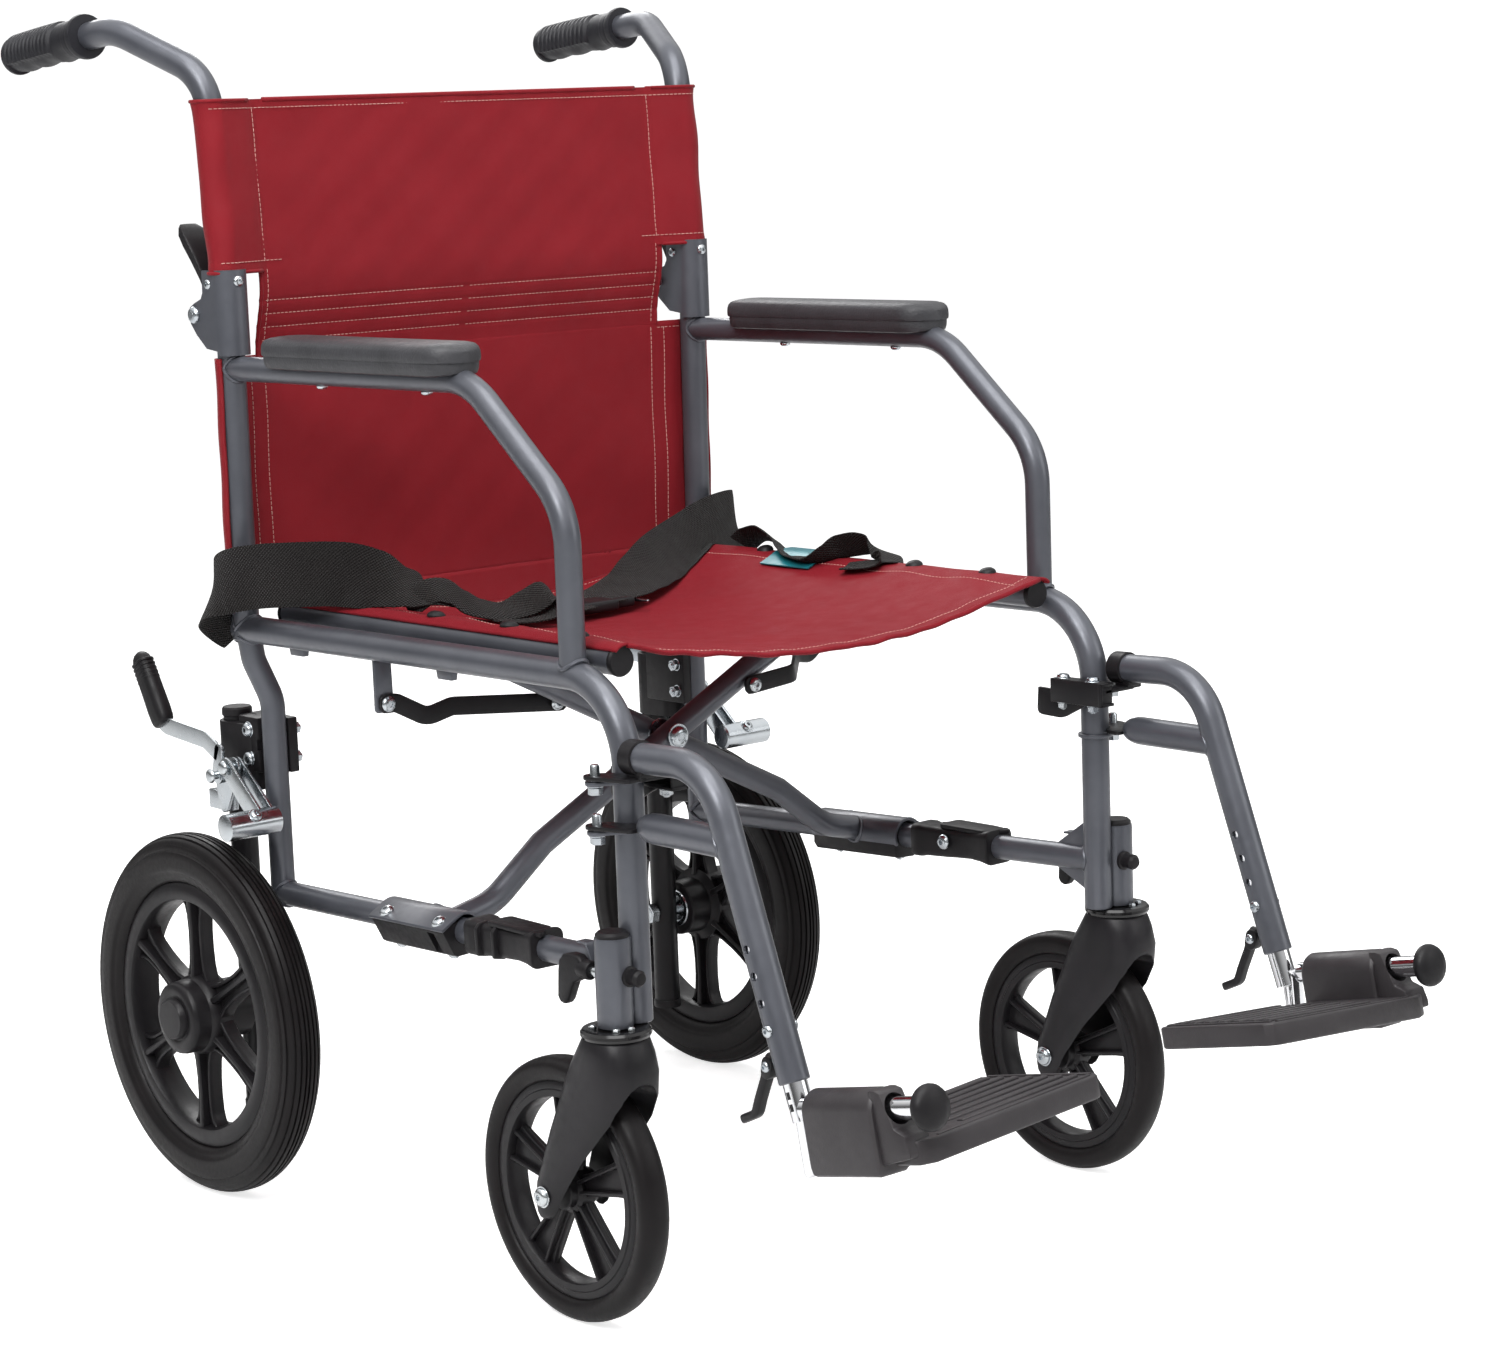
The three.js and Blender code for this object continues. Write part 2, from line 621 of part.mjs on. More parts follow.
// tube in the hanger leg, with the footplate stub across its end
function extension() {
  const body = join(
    rod(onLeg(-106), onLeg(29), 8.8, 12),
    rod([HANGER_X, STUB[1] + 3, STUB[2] - 0.6], onStub(4), 7.5, 12),
    rod(onStub(4), onStub(124), 8, 14),
    slab(hull([[-343, 205, 6], [-349, 164, 4]], 8), 'x', 246, 258),
  );
  return cut(body, rod(onLeg(-109), onLeg(6), 7, 10));
}

const stubCap = () => join(
  rod(onStub(124.3), onStub(130), 15.8, 20),
  rod(onStub(130), onStub(134), 13, 20),
);

// lever of the height clamp
function heightLever() {
  const [, y, z] = onLeg(-12);
  const from = (dy, dz, ...bend) => [HANGER_X, y + dy, z + dz, ...bend];
  const boss = hull([[y + 19.5, z - 2, 5.5], [y + 21, z - 7, 5.5]], 10);
  return join(
    slab(boss, 'x', HANGER_X - 5, HANGER_X + 5),
    strip([from(20, 0), from(30, -26, 30), from(35, -38)], 9, 5, X_AXIS),
    strip([from(34, -34), from(38, -42), from(50, -47)], 9, 5, X_AXIS),
  );
}

function footplate() {
  const up = [0, STUB_DIR[2], -STUB_DIR[1]];
  const place = (forward, rise) => along(onStub(forward), up, rise);
  // heel block: rounded over the stub, flat sided down to the plate
  const dome = Array.from({ length: 9 }, (_, i) => {
    const angle = (Math.PI * i) / 8;
    return [14.5 * Math.cos(angle), 14.5 * Math.sin(angle)];
  });
  const heel = shape([...dome, [-14.5, -40], [-12, -44], [12, -44], [14.5, -40]]);
  // plate outline: [forward along the stub, inboard]
  const outline = [
    [16.5, 2.3], [16.5, 34], [4, 40], [4, 162], [11, 170], [112, 170],
    [118, 163], [118, 6], [112, -4], [90, -4], [79.1, 2.3],
  ];
  const plate = new THREE.ExtrudeGeometry(shape(outline), { depth: 18, bevelEnabled: false });
  plate.applyMatrix4(basis(STUB_DIR, [-1, 0, 0], up));
  plate.translate(...place(0, -38));
  // block in front of the heel: [forward along the stub, rise]
  const frontBlock = [
    [80.3, -35.2], [111.1, -31.3], [107.2, -15.1], [97.4, -10.6], [80.3, -9.7],
  ].map(([forward, rise]) => place(forward, rise).slice(1));
  const body = join(
    sweep([vec(place(13, 0)), vec(place(84, 0))], heel, X_AXIS),
    solid(plate),
    slab(frontBlock, 'x', STUB[0] - 11.3, STUB[0] + 4.2),
  );
  return cut(body, rod(onStub(-20), onStub(140), 8.4, 14));
}

// ---- brake ----
const brakeHole = ({ y, z }) => rodX(BRAKE_X - 10, BRAKE_X + 20, y, z, 3.8, 12);

function brakeBase() {
  const { x } = WHEEL_POST;
  const plate = hull([
    [LEVER_PIVOT.y, LEVER_PIVOT.z, 9], [SHOE_PIVOT.y, SHOE_PIVOT.z, 8], [380, 328, 7],
  ], 10);
  const wrap = [ // bent round the wheel post
    [x + 12.3, 376], [BRAKE_X - 1, 376], [BRAKE_X - 1, 406],
    [x - 14, 406], [x - 14, 402.6], [x + 12.3, 402.6],
  ];
  let base = join(
    slab(plate, 'x', BRAKE_X - 1.5, BRAKE_X + 1.5),
    slab(wrap, 'z', 322, 338),
  );
  for (const { y, z } of [LEVER_PIVOT, SHOE_PIVOT]) {
    base = join(
      base,
      rodX(BRAKE_X - 3, BRAKE_X + 13, y, z, 3.4, 10),
      rodX(BRAKE_X + 10.4, BRAKE_X + 13, y, z, 6, 10),
    );
  }
  return base;
}

function brakeLever() {
  const x = LEVER_X;
  const root = hull([[LEVER_PIVOT.y, LEVER_PIVOT.z, 7.5], [378, 374, 6]], 10);
  const body = join(
    slab(root, 'x', x - 1.5, x + 1.5),
    strip([[x, 379, 372], [x, 400, 381, 12], [x, 458, 386]], 3, 13, X_AXIS),
    strip([[x, 452, 385], [x, 466, 388, 12], [x, 486, 424]], 3, 12, X_AXIS),
  );
  return cut(body, brakeHole(LEVER_PIVOT));
}

function brakeGrip() {
  const x = LEVER_X;
  return cut(
    bar([x, 463, 387], [x, 496, 444.2], 13, 20, X_AXIS, 5.5),
    strip([[x, 440, 384.2], [x, 466, 388, 12], [x, 487.5, 426.7]], 3.8, 12.8, X_AXIS),
  );
}

function brakeShoe() {
  const arm = hull([[SHOE_PIVOT.y, SHOE_PIVOT.z, 7.5], [318, 323, 8]]);
  const body = join(slab(arm, 'x', BRAKE_X + 6, BRAKE_X + 9), rodX(240, 291, 316, 322, 10, 16));
  return cut(body, brakeHole(SHOE_PIVOT));
}

// ---- folding back ----
function cane() {
  const { x } = BACK_POST;
  const { y, z } = BACK_HINGE;
  return join(
    tube(CANE, MAIN_R, 12, 20),
    // rear lug, then the hinge bolt with its head and nut
    slab(hull([[y, z, 7.5], [340, 747, 8]]), 'x', x - 6, x + 6),
    rodX(x - 17.5, x + 18, y, z, 3.9, 12),
    rodX(x + 15.1, x + 19, y, z, 6.8, 12),
    rodX(x - 19, x - 14.6, y, z, 6.8, 6),
  );
}

function grip() {
  const body = join(
    tube([[281.9, 470, 962], [282, 486, 960.4], [282, 593, 949.8]], 16.5, 14),
    rod([281.9, 466, 962.4], [281.9, 474, 961.6], 18.5, 14),
  );
  return cut(body, rod([279.55, 440, 965.1], [282, 582.8, 950.7], MAIN_R + 1, 14));
}

// back release paddle
function backRelease() {
  const { x } = BACK_POST;
  return join(
    slab(hull([[363, 768, 4], [366, 785, 5], [378, 806, 6]], 8), 'x', x - 9, x + 9),
    slab([[360, 748], [364.5, 750], [367, 772], [361, 772]], 'x', x - 5, x + 5),
  );
}

// ---- soft goods ----
// sags as a parabola between the seat rails and lies flat over them
function seatSling() {
  const thickness = 3.2;
  const top = [];
  const bottom = [];
  for (let i = -12; i <= 12; i++) {
    const x = (226 * i) / 12;
    const z = Math.abs(x) > 200 ? 501.8 : 474.5 + 27.3 * (x / 200) ** 2;
    bottom.push([z, x]);
    top.push([z + thickness, x]);
  }
  return slab([...bottom, ...top.reverse()], 'y', -118, 322);
}

function backLower() {
  const front = [[-228, 340], [-120, 345], [120, 345], [228, 340]];
  const rear = front.map(([x, y]) => [x, y + 3]).reverse();
  return slab([...front, ...rear], 'z', 472, 698);
}

// upper panel leans with the canes; a sleeve closes round each cane
function backUpper() {
  const [[, y0, z0], [, y1, z1]] = CANE;
  const lean = (z) => y0 + ((z - z0) * (y1 - y0)) / (z1 - z0);
  const top = 906;
  const sheet = (bottom) => [
    [lean(bottom) - 1.5, bottom], [lean(top) - 1.5, top],
    [lean(top) + 1.5, top], [lean(bottom) + 1.5, bottom],
  ];
  let panel = slab(sheet(702), 'x', -212, 212);
  for (const side of [-1, 1]) {
    panel = join(
      panel,
      rod([side * 244, lean(772), 772], [side * 244.9, lean(top), top], 14.2, 14),
      slab(sheet(772), 'x', ...sideRange(side, 211, 233)),
    );
  }
  for (const side of [-1, 1]) {
    const centreLine = CANE.map(([x, ...rest]) => [side * x, ...rest]);
    panel = cut(panel, tube(centreLine, MAIN_R + 0.6, 12, 20));
  }
  return panel;
}

// one strap of the lap belt, over the seat
const beltStrap = (side) => strip([
  [side * 38, 220, 489], [side * 80, 236, 494, 40],
  [side * 170, 272, 507, 30], [side * 228, 300, 512],
], 48, 2.4, Y_AXIS);
const beltBuckle = () => bar([42, 222, 489], [-26, 214, 489], 50, 8, Y_AXIS);

// ---- assembly ----
pair('side_frame', sideFrame(), PAINT);
pair('hinge_bracket', hingeBracket(), PAINT);
pair('arm_pad', armPad(), BLACK);
pair('wheel_post', wheelPost(), BLACK);
pair('wheel_post_bracket', wheelPostBracket(), SATIN);
pair('rear_axle', rearAxle(), ZINC);
pair('rear_tyre', rearTyre(), RUBBER);
pair('rear_rim', rearRim(), RIM);
pair('caster_fork', casterFork(), BLACK);
pair('caster_tyre', casterTyre(), RUBBER);
pair('caster_rim', casterRim(), RIM);
put('brace_a', brace(BRACE_Y.a, -1), PAINT);
put('brace_b', brace(BRACE_Y.b, 1), PAINT);
put('brace_bolt', braceBolt(), ZINC);
put('stay_r', stay(STAY_RIGHT, [86, 133.6, 139.5, 417]), SATIN, true);
put('stay_l', stay(STAY_LEFT, [81, 76.6, 82.2, 414.6]), SATIN);
pair('rail_clip', railClip(), BLACK);
pair('hanger', hanger(), PAINT);
pair('hanger_latch', hangerLatch(), BLACK);
pair('extension', extension(), CHROME);
pair('stub_cap', stubCap(), BLACK);
pair('height_lever', heightLever(), BLACK);
pair('footplate', footplate(), BLACK);
pair('brake_base', brakeBase(), ZINC);
pair('brake_lever', brakeLever(), ZINC);
pair('brake_grip', brakeGrip(), BLACK);
pair('brake_shoe', brakeShoe(), ZINC);
pair('cane', cane(), PAINT);
pair('grip', grip(), BLACK);
pair('back_release', backRelease(), BLACK);
put('seat_sling', seatSling(), RED);
put('back_lower', backLower(), RED);
put('back_upper', backUpper(), RED);
put('belt_r', beltStrap(-1), WEBBING);
put('belt_l', join(beltStrap(1), beltBuckle()), WEBBING);

export default group;
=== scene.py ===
# A folding steel wheelchair, built over its CAD pieces. The chair faces -Y, +X is the
# sitter's left, the floor is z = 0. Lengths are millimetres until put() turns them to metres.
# Paired parts are modelled on the left (+X) side and mirrored for the right.
import json
import math
import random

import bmesh
import bpy
import numpy as np
from mathutils import Matrix, Vector


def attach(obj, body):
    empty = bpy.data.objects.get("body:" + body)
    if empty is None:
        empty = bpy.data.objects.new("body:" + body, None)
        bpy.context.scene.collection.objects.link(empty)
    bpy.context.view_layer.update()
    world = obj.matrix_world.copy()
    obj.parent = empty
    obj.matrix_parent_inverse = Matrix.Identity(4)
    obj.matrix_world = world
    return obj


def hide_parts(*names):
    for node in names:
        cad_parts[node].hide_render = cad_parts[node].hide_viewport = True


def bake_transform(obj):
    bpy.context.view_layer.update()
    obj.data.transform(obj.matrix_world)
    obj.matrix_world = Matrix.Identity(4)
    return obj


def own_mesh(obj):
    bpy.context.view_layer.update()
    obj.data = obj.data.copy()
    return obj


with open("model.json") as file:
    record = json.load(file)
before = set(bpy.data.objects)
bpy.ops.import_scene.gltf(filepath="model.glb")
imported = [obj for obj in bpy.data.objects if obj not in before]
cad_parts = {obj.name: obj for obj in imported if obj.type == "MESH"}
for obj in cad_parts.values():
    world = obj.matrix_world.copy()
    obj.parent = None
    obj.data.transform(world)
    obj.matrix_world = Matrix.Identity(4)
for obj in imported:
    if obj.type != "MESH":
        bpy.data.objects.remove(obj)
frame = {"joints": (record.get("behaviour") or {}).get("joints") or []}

random.seed(7)  # nothing below draws from it

SIDES = ((1, "l", "left"), (-1, "r", "right"))  # sign of x, name ending, body ending
LEFT, RIGHT = (1, 0, 0), (-1, 0, 0)
BACK, FRONT = (0, 1, 0), (0, -1, 0)
UP, DOWN = (0, 0, 1), (0, 0, -1)

AXLE_Y = 390.0
REAR_R = 152.5  # rear wheel radius, and so its axle's height
JOINT = {j["name"]: j for j in frame["joints"]}
# the row frame's origin lies this far behind the origin the lengths are counted from
Y_SHIFT = AXLE_Y - 1000.0 * JOINT["rear_wheel_spin_left"]["pos_m"][1]
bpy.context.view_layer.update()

R_MAIN, R_SEC = 11.2, 10.1  # the two sizes of frame tube
POST_X, POST_Y = 241.0, -150.0  # front post
PIN_X, PIN_Y = 267.0, -145.0  # hanger pins
HANGER_X = 250.4
REAR_X, REAR_Y = 226.0, 334.0  # rear post, low down
CANE_X = 243.3  # upper rear post
STEM_X, STEM_Y = 262.0, -150.4  # caster stem
SEAT_RAIL_X, SEAT_RAIL_Z = 214, 490


# ---------------------------------------------------------------- shapes
class Shape:
    """Vertices, faces as index tuples, and one uv pair for each vertex."""

    def __init__(self, verts=(), faces=(), uv=None):
        self.verts, self.faces, self.uv = [], [], []
        self.add(verts, faces, uv)

    def add(self, verts, faces, uv=None):
        start = len(self.verts)
        self.verts += [tuple(map(float, p)) for p in verts]
        self.faces += [tuple(i + start for i in face) for face in faces]
        self.uv += [(0.0, 0.0)] * len(verts) if uv is None else [tuple(pair) for pair in uv]

    def __iadd__(self, other):
        self.add(other.verts, other.faces, other.uv)
        return self

    def __add__(self, other):
        both = Shape(self.verts, self.faces, self.uv)
        both += other
        return both

    def map(self, move):
        return Shape([move(Vector(p)) for p in self.verts], self.faces, self.uv)


def vec(*args):
    return Vector(args[0]) if len(args) == 1 else Vector(args)


def skin(rows, caps=False, loop=False, uv=None):
    """Faces between closed rows of points; loop joins the last row to the first."""
    count, size = len(rows), len(rows[0])
    faces = []
    for i in range(count if loop else count - 1):
        here, there = i * size, (i + 1) % count * size
        for j in range(size):
            k = (j + 1) % size
            faces.append((here + j, here + k, there + k, there + j))
    if caps:
        faces.append(tuple(range(size)))
        faces.append(tuple((count - 1) * size + j for j in range(size)))
    return Shape([p for row in rows for p in row], faces, uv)


def to_bm(shape):
    bm = bmesh.new()
    verts = [bm.verts.new(p) for p in shape.verts]
    for face in shape.faces:
        try:
            bm.faces.new([verts[i] for i in face])
        except ValueError:  # a face given twice, or one that uses a vertex twice
            pass
    bm.verts.index_update()
    return bm


def from_bm(bm, uv=None):
    bm.verts.index_update()
    faces = [tuple(v.index for v in f.verts) for f in bm.faces]
    shape = Shape([v.co[:] for v in bm.verts], faces, uv)
    bm.free()
    return shape


def fix(shape):
    """The same shape with its faces turned outwards."""
    bm = to_bm(shape)
    bmesh.ops.recalc_face_normals(bm, faces=bm.faces)
    return from_bm(bm, shape.uv)


def bevel(shape, width, segments=2, degrees=40):
    """Round the edges that turn by more than the given degrees."""
    bm = to_bm(shape)
    bmesh.ops.recalc_face_normals(bm, faces=bm.faces)
    limit = math.radians(degrees)
    edges = [e for e in bm.edges if len(e.link_faces) == 2 and e.calc_face_angle(0) > limit]
    bmesh.ops.bevel(bm, geom=edges, offset=width, segments=segments, profile=0.5,
                    affect="EDGES", clamp_overlap=True)
    return from_bm(bm)


def cut(shape, *cutters):
    """Exact boolean difference; the result's uvs are all zero."""
    def temp(source, name):
        mesh = bpy.data.meshes.new(name)
        mesh.from_pydata([Vector(p) / 100 for p in source.verts], [], source.faces)
        obj = bpy.data.objects.new(name, mesh)
        bpy.context.scene.collection.objects.link(obj)
        return obj

    base = temp(shape, "tmp_base")
    joined = Shape()
    for cutter in cutters:
        joined += cutter
    tool = temp(joined, "tmp_tool")
    mod = base.modifiers.new("b", "BOOLEAN")
    mod.operation, mod.object, mod.solver = "DIFFERENCE", tool, "EXACT"
    mod.use_self = True
    evaluated = base.evaluated_get(bpy.context.evaluated_depsgraph_get())
    mesh = evaluated.to_mesh()
    out = Shape([v.co * 100 for v in mesh.vertices], [tuple(p.vertices) for p in mesh.polygons])
    evaluated.to_mesh_clear()
    bpy.data.objects.remove(base)
    bpy.data.objects.remove(tool)
    return out


# ---------------------------------------------------------------- sweeps
def route(points, step=6.0):
    """Path through (x, y, z, bend radius) points; step is the degrees between bend points."""
    out = [vec(points[0][:3])]
    for i in range(1, len(points) - 1):
        p = vec(points[i][:3])
        before = (vec(points[i - 1][:3]) - p).normalized()
        after = (vec(points[i + 1][:3]) - p).normalized()
        angle = math.pi - before.angle(after)
        radius = points[i][3] if len(points[i]) > 3 else 0
        if not radius or angle < 0.01:
            out.append(p)
            continue
        run = radius * math.tan(angle / 2)
        centre = p + (before + after).normalized() * (radius / math.cos(angle / 2))
        start, end = p + before * run - centre, p + after * run - centre
        count = max(2, math.ceil(math.degrees(angle) / step))
        axis = start.cross(end).normalized()
        for k in range(count + 1):
            out.append(centre + Matrix.Rotation(angle * k / count, 3, axis) @ start)
    out.append(vec(points[-1][:3]))
    return out


def frames(path, up=None):
    """Normals and binormals carried along the path without twist."""
    last = len(path) - 1
    tangents = []
    for i in range(last + 1):
        t = Vector((0, 0, 0))
        if i > 0:
            t += (path[i] - path[i - 1]).normalized()
        if i < last:
            t += (path[i + 1] - path[i]).normalized()
        tangents.append(t.normalized())
    normal = vec(up) if up else vec(LEFT if abs(tangents[0].x) < 0.9 else UP)
    normals, binormals = [], []
    for i, t in enumerate(tangents):
        if i > 0:
            normal = tangents[i - 1].rotation_difference(t) @ normal
        normal = (normal - t * normal.dot(t)).normalized()
        normals.append(normal.copy())
        binormals.append(t.cross(normal))
    return normals, binormals


def sweep(path, section, up=None, scale=None):
    """Lay the section's (normal, binormal) pairs at each path point, scaled by (a, b) pairs."""
    path = [vec(p[:3]) for p in path]
    normals, binormals = frames(path, up)
    rows, uv, length = [], [], 0.0
    for i, p in enumerate(path):
        if i:
            length += (p - path[i - 1]).length
        scale_a, scale_b = scale[i] if scale else (1, 1)
        around, row = 0.0, []
        for k, (a, b) in enumerate(section):
            row.append(p + normals[i] * a * scale_a + binormals[i] * b * scale_b)
            if k:
                around += math.dist(section[k], section[k - 1])
            uv.append((length / 1000, around / 1000))
        rows.append(row)
    shape = skin(rows, uv=uv)
    size, total = len(section), len(shape.verts)
    shape.faces += [tuple(reversed(range(size))), tuple(range(total - size, total))]
    return shape


def ring(radius, count, radius_b=None):
    radius_b = radius_b or radius
    return [(radius * math.cos(2 * math.pi * k / count),
             radius_b * math.sin(2 * math.pi * k / count)) for k in range(count)]


def rounded(width, height, radius, steps=4):
    """Rectangle outline with rounded corners."""
    out = []
    x, y = width / 2, height / 2
    for cx, cy, start in ((x - radius, y - radius, 0), (-x + radius, y - radius, 90),
                          (-x + radius, -y + radius, 180), (x - radius, -y + radius, 270)):
        for i in range(steps + 1):
            a = math.radians(start + 90 * i / steps)
            out.append((cx + radius * math.cos(a), cy + radius * math.sin(a)))
    return out


def tube(points, radius, count, step=5.0, chamfer=0.9):
    path = route(points, step)
    a, b = path[0], path[-1]
    from_a, from_b = (path[1] - a).normalized(), (path[-2] - b).normalized()
    path = [a, a + from_a * chamfer] + path[1:-1] + [b + from_b * chamfer, b]
    k = (radius - chamfer) / radius
    scale = [(k, k)] + [(1, 1)] * (len(path) - 2) + [(k, k)]
    return sweep(path, ring(radius, count), scale=scale)


def rod(a, b, radius, count=20, chamfer=0.5):
    return tube([a, b], radius, count, chamfer=min(chamfer, radius * 0.4))


def strip(points, width, height, up, radius=None, step=6, ends=0.0):
    """Flat bar along a route; ends is the length over which its ends narrow."""
    path = route(points, step)
    radius = min(width, height) * 0.42 if radius is None else radius
    scale = None
    if ends:
        a, b = path[0], path[-1]
        from_a, from_b = (path[1] - a).normalized(), (path[-2] - b).normalized()
        head = [a + from_a * ends * t for t in (0, 0.15, 0.45, 1)]
        tail = [b + from_b * ends * t for t in (1, 0.45, 0.15, 0)]
        path = head + path[1:-1] + tail
        taper = [(0.45, 1), (0.72, 1), (0.93, 1), (1.0, 1)]
        scale = taper + [(1, 1)] * (len(path) - 8) + taper[::-1]
    return sweep(path, rounded(width, height, radius), up, scale)


def lathe(profile, centre, axis, count, closed=False):
    """Turn (radius, distance along axis) pairs round the axis; closed joins last to first."""
    centre, axis = vec(centre), vec(axis).normalized()
    u = axis.orthogonal().normalized()
    w = axis.cross(u)
    verts, rows, uv = [], [], []
    for r, t in profile:
        if r <= 1e-6:
            rows.append([len(verts)] * count)
            verts.append(centre + axis * t)
            uv.append((0, 0))
            continue
        rows.append([len(verts) + k for k in range(count)])
        for k in range(count):
            a = 2 * math.pi * k / count
            verts.append(centre + axis * t + (u * math.cos(a) + w * math.sin(a)) * r)
            uv.append((a * r / 1000, t / 1000))
    faces = []
    for low, high in list(zip(rows, rows[1:])) + ([(rows[-1], rows[0])] if closed else []):
        for k in range(count):
            j = (k + 1) % count
            face = [low[k], low[j], high[j], high[k]]
            face = [v for t, v in enumerate(face) if v not in face[:t]]
            if len(face) > 2:
                faces.append(tuple(face))
    if not closed:
        if profile[0][0] > 1e-6:
            faces.append(tuple(reversed(rows[0])))
        if profile[-1][0] > 1e-6:
            faces.append(tuple(rows[-1]))
    return fix(Shape(verts, faces, uv))


# ---------------------------------------------------------------- plates and blocks
PLANE = {"x": (1, 2, 0), "y": (2, 0, 1), "z": (0, 1, 2)}


def prism(outline, axis, low, high, edge=0.0, segments=2):
    """Outline in (y, z) for axis x, (z, x) for y, (x, y) for z; edge is its bevel."""
    a, b, c = PLANE[axis]
    n = len(outline)
    verts = []
    for t in (low, high):
        for p in outline:
            q = [0, 0, 0]
            q[a], q[b], q[c] = p[0], p[1], t
            verts.append(q)
    faces = [tuple(range(n)), tuple(range(n, 2 * n))]
    faces += [(k, (k + 1) % n, (k + 1) % n + n, k + n) for k in range(n)]
    shape = Shape(verts, faces)
    return bevel(shape, edge, segments) if edge else fix(shape)


def rect(x0, y0, x1, y1):
    return [(x0, y0), (x1, y0), (x1, y1), (x0, y1)]


def plate(rounds, axis, low, high, edge):
    """Prism on the convex outline round (a, b, radius) discs."""
    points = sorted({(x + r * math.cos(2 * math.pi * i / 28), y + r * math.sin(2 * math.pi * i / 28))
                     for x, y, r in rounds for i in range(28)})

    def half(points):
        chain = []
        for s in points:
            while len(chain) > 1:
                (ax, ay), (bx, by) = chain[-2:]
                if (bx - ax) * (s[1] - ay) - (by - ay) * (s[0] - ax) > 1e-9:
                    break
                chain.pop()
            chain.append(s)
        return chain[:-1]

    return prism(half(points) + half(points[::-1]), axis, low, high, edge)


def box(centre, size, edge=0.0):
    x, y, z = (s / 2 for s in size)
    centre = vec(centre)
    return prism(rect(-x, -y, x, y), "z", -z, z, edge).map(lambda p: centre + p)


# ---------------------------------------------------------------- fasteners and welds
def hexa(p, axis, flats, height):
    """Hex nut or head standing from p along axis."""
    p, axis = vec(p), vec(axis).normalized()
    r = flats / math.sqrt(3)
    sides = [(r - 0.6, 0), (r, 0.36), (r, height - 0.36), (r - 0.6, height)]
    top = [(flats * 0.42, height - 0.3), (flats * 0.42, height + 0.25), (flats * 0.36, height + 0.5)]
    return lathe(sides, p, axis, 6) + lathe(top, p, axis, 18)


def dome(p, axis, r, h, recess=True):
    """Round screw head, with or without a socket."""
    profile = [(r * 0.96, 0), (r, h * 0.15), (r * 0.97, h * 0.4), (r * 0.86, h * 0.68),
               (r * 0.66, h * 0.88), (r * 0.4, h * 0.98)]
    if recess:
        profile += [(r * 0.34, h * 0.97), (r * 0.3, h * 0.45), (0, h * 0.4)]
    else:
        profile += [(0, h)]
    return lathe(profile, p, axis, 18)


def washer(p, axis, r, h):
    return lathe([(r - 0.3, 0), (r, 0.3), (r, h - 0.3), (r - 0.3, h)], p, axis, 22)


def nutbolt(p, axis, flats, height, proud):
    """Washer and hex nut with the bolt's end standing out of it."""
    p, axis = vec(p), vec(axis).normalized()
    r = flats * 0.3
    bolt = [(r, 0), (r, height + proud - 0.6), (r - 0.7, height + proud)]
    return (washer(p, axis, flats * 0.62, 1.0) + hexa(p + axis * 1.0, axis, flats, height)
            + lathe(bolt, p + axis, axis, 14))


def weld(centre, a, radius_a, b, radius_b, bead):
    """Bead where a tube along a meets the side of one along b; centre is on b's axis."""
    count, size = 72, 8
    centre, a, b = vec(centre), vec(a).normalized(), vec(b).normalized()
    w = a.cross(b).normalized()
    u = w.cross(a).normalized()
    path = []
    for k in range(count):
        t = 2 * math.pi * k / count
        o = w * (math.cos(t) * radius_a) + u * (math.sin(t) * radius_a)
        # slide the point along a until it sits on b's surface
        rel = o - b * o.dot(b)
        across = a - b * a.dot(b)
        qa, qb, qc = across.dot(across), 2 * rel.dot(across), rel.dot(rel) - radius_b * radius_b
        slide = (-qb + math.sqrt(max(qb * qb - 4 * qa * qc, 0))) / (2 * qa)
        path.append(centre + o + a * slide + o.normalized() * 0.4)
    rows = []
    for k, p in enumerate(path):
        t = (path[(k + 1) % count] - path[k - 1]).normalized()
        out = p - centre
        out = (out - t * out.dot(t)).normalized()
        side = t.cross(out)
        rows.append([p + out * (bead * math.cos(2 * math.pi * j / size))
                     + side * (bead * math.sin(2 * math.pi * j / size)) for j in range(size)])
    return fix(skin(rows, loop=True))


# ---------------------------------------------------------------- materials
def set_inputs(node, values):
    for key, value in values.items():
        node.inputs[key].default_value = value


def linear(rgb):
    """Linear colour from 0-255 sRGB."""
    return tuple(((c / 255 + 0.055) / 1.055) ** 2.4 if c / 255 > 0.04045 else c / 255 / 12.92
                 for c in rgb) + (1.0,)


def new_mat(name):
    mat = bpy.data.materials.new(name)
    mat.use_nodes = True
    return mat, mat.node_tree, mat.node_tree.nodes["Principled BSDF"]


def noise(nt, scale, detail):
    coord = nt.nodes.new("ShaderNodeTexCoord")
    tex = nt.nodes.new("ShaderNodeTexNoise")
    set_inputs(tex, {"Scale": scale, "Detail": detail, "Roughness": 0.55})
    nt.links.new(coord.outputs["Object"], tex.inputs["Vector"])
    return tex.outputs["Fac"]


def ramp(nt, value, to_min, to_max, from_min=0.3, from_max=0.7):
    node = nt.nodes.new("ShaderNodeMapRange")
    set_inputs(node, {"From Min": from_min, "From Max": from_max,
                      "To Min": to_min, "To Max": to_max})
    nt.links.new(value, node.inputs["Value"])
    return node.outputs["Result"]


def mix_colour(nt, factor, first, second):
    """Colour mix; first and second are colours or sockets."""
    mix = nt.nodes.new("ShaderNodeMix")
    mix.data_type = "RGBA"
    nt.links.new(factor, mix.inputs["Factor"])
    for i, colour in ((6, first), (7, second)):
        if isinstance(colour, tuple):
            mix.inputs[i].default_value = colour
        else:
            nt.links.new(colour, mix.inputs[i])
    return mix.outputs[2]


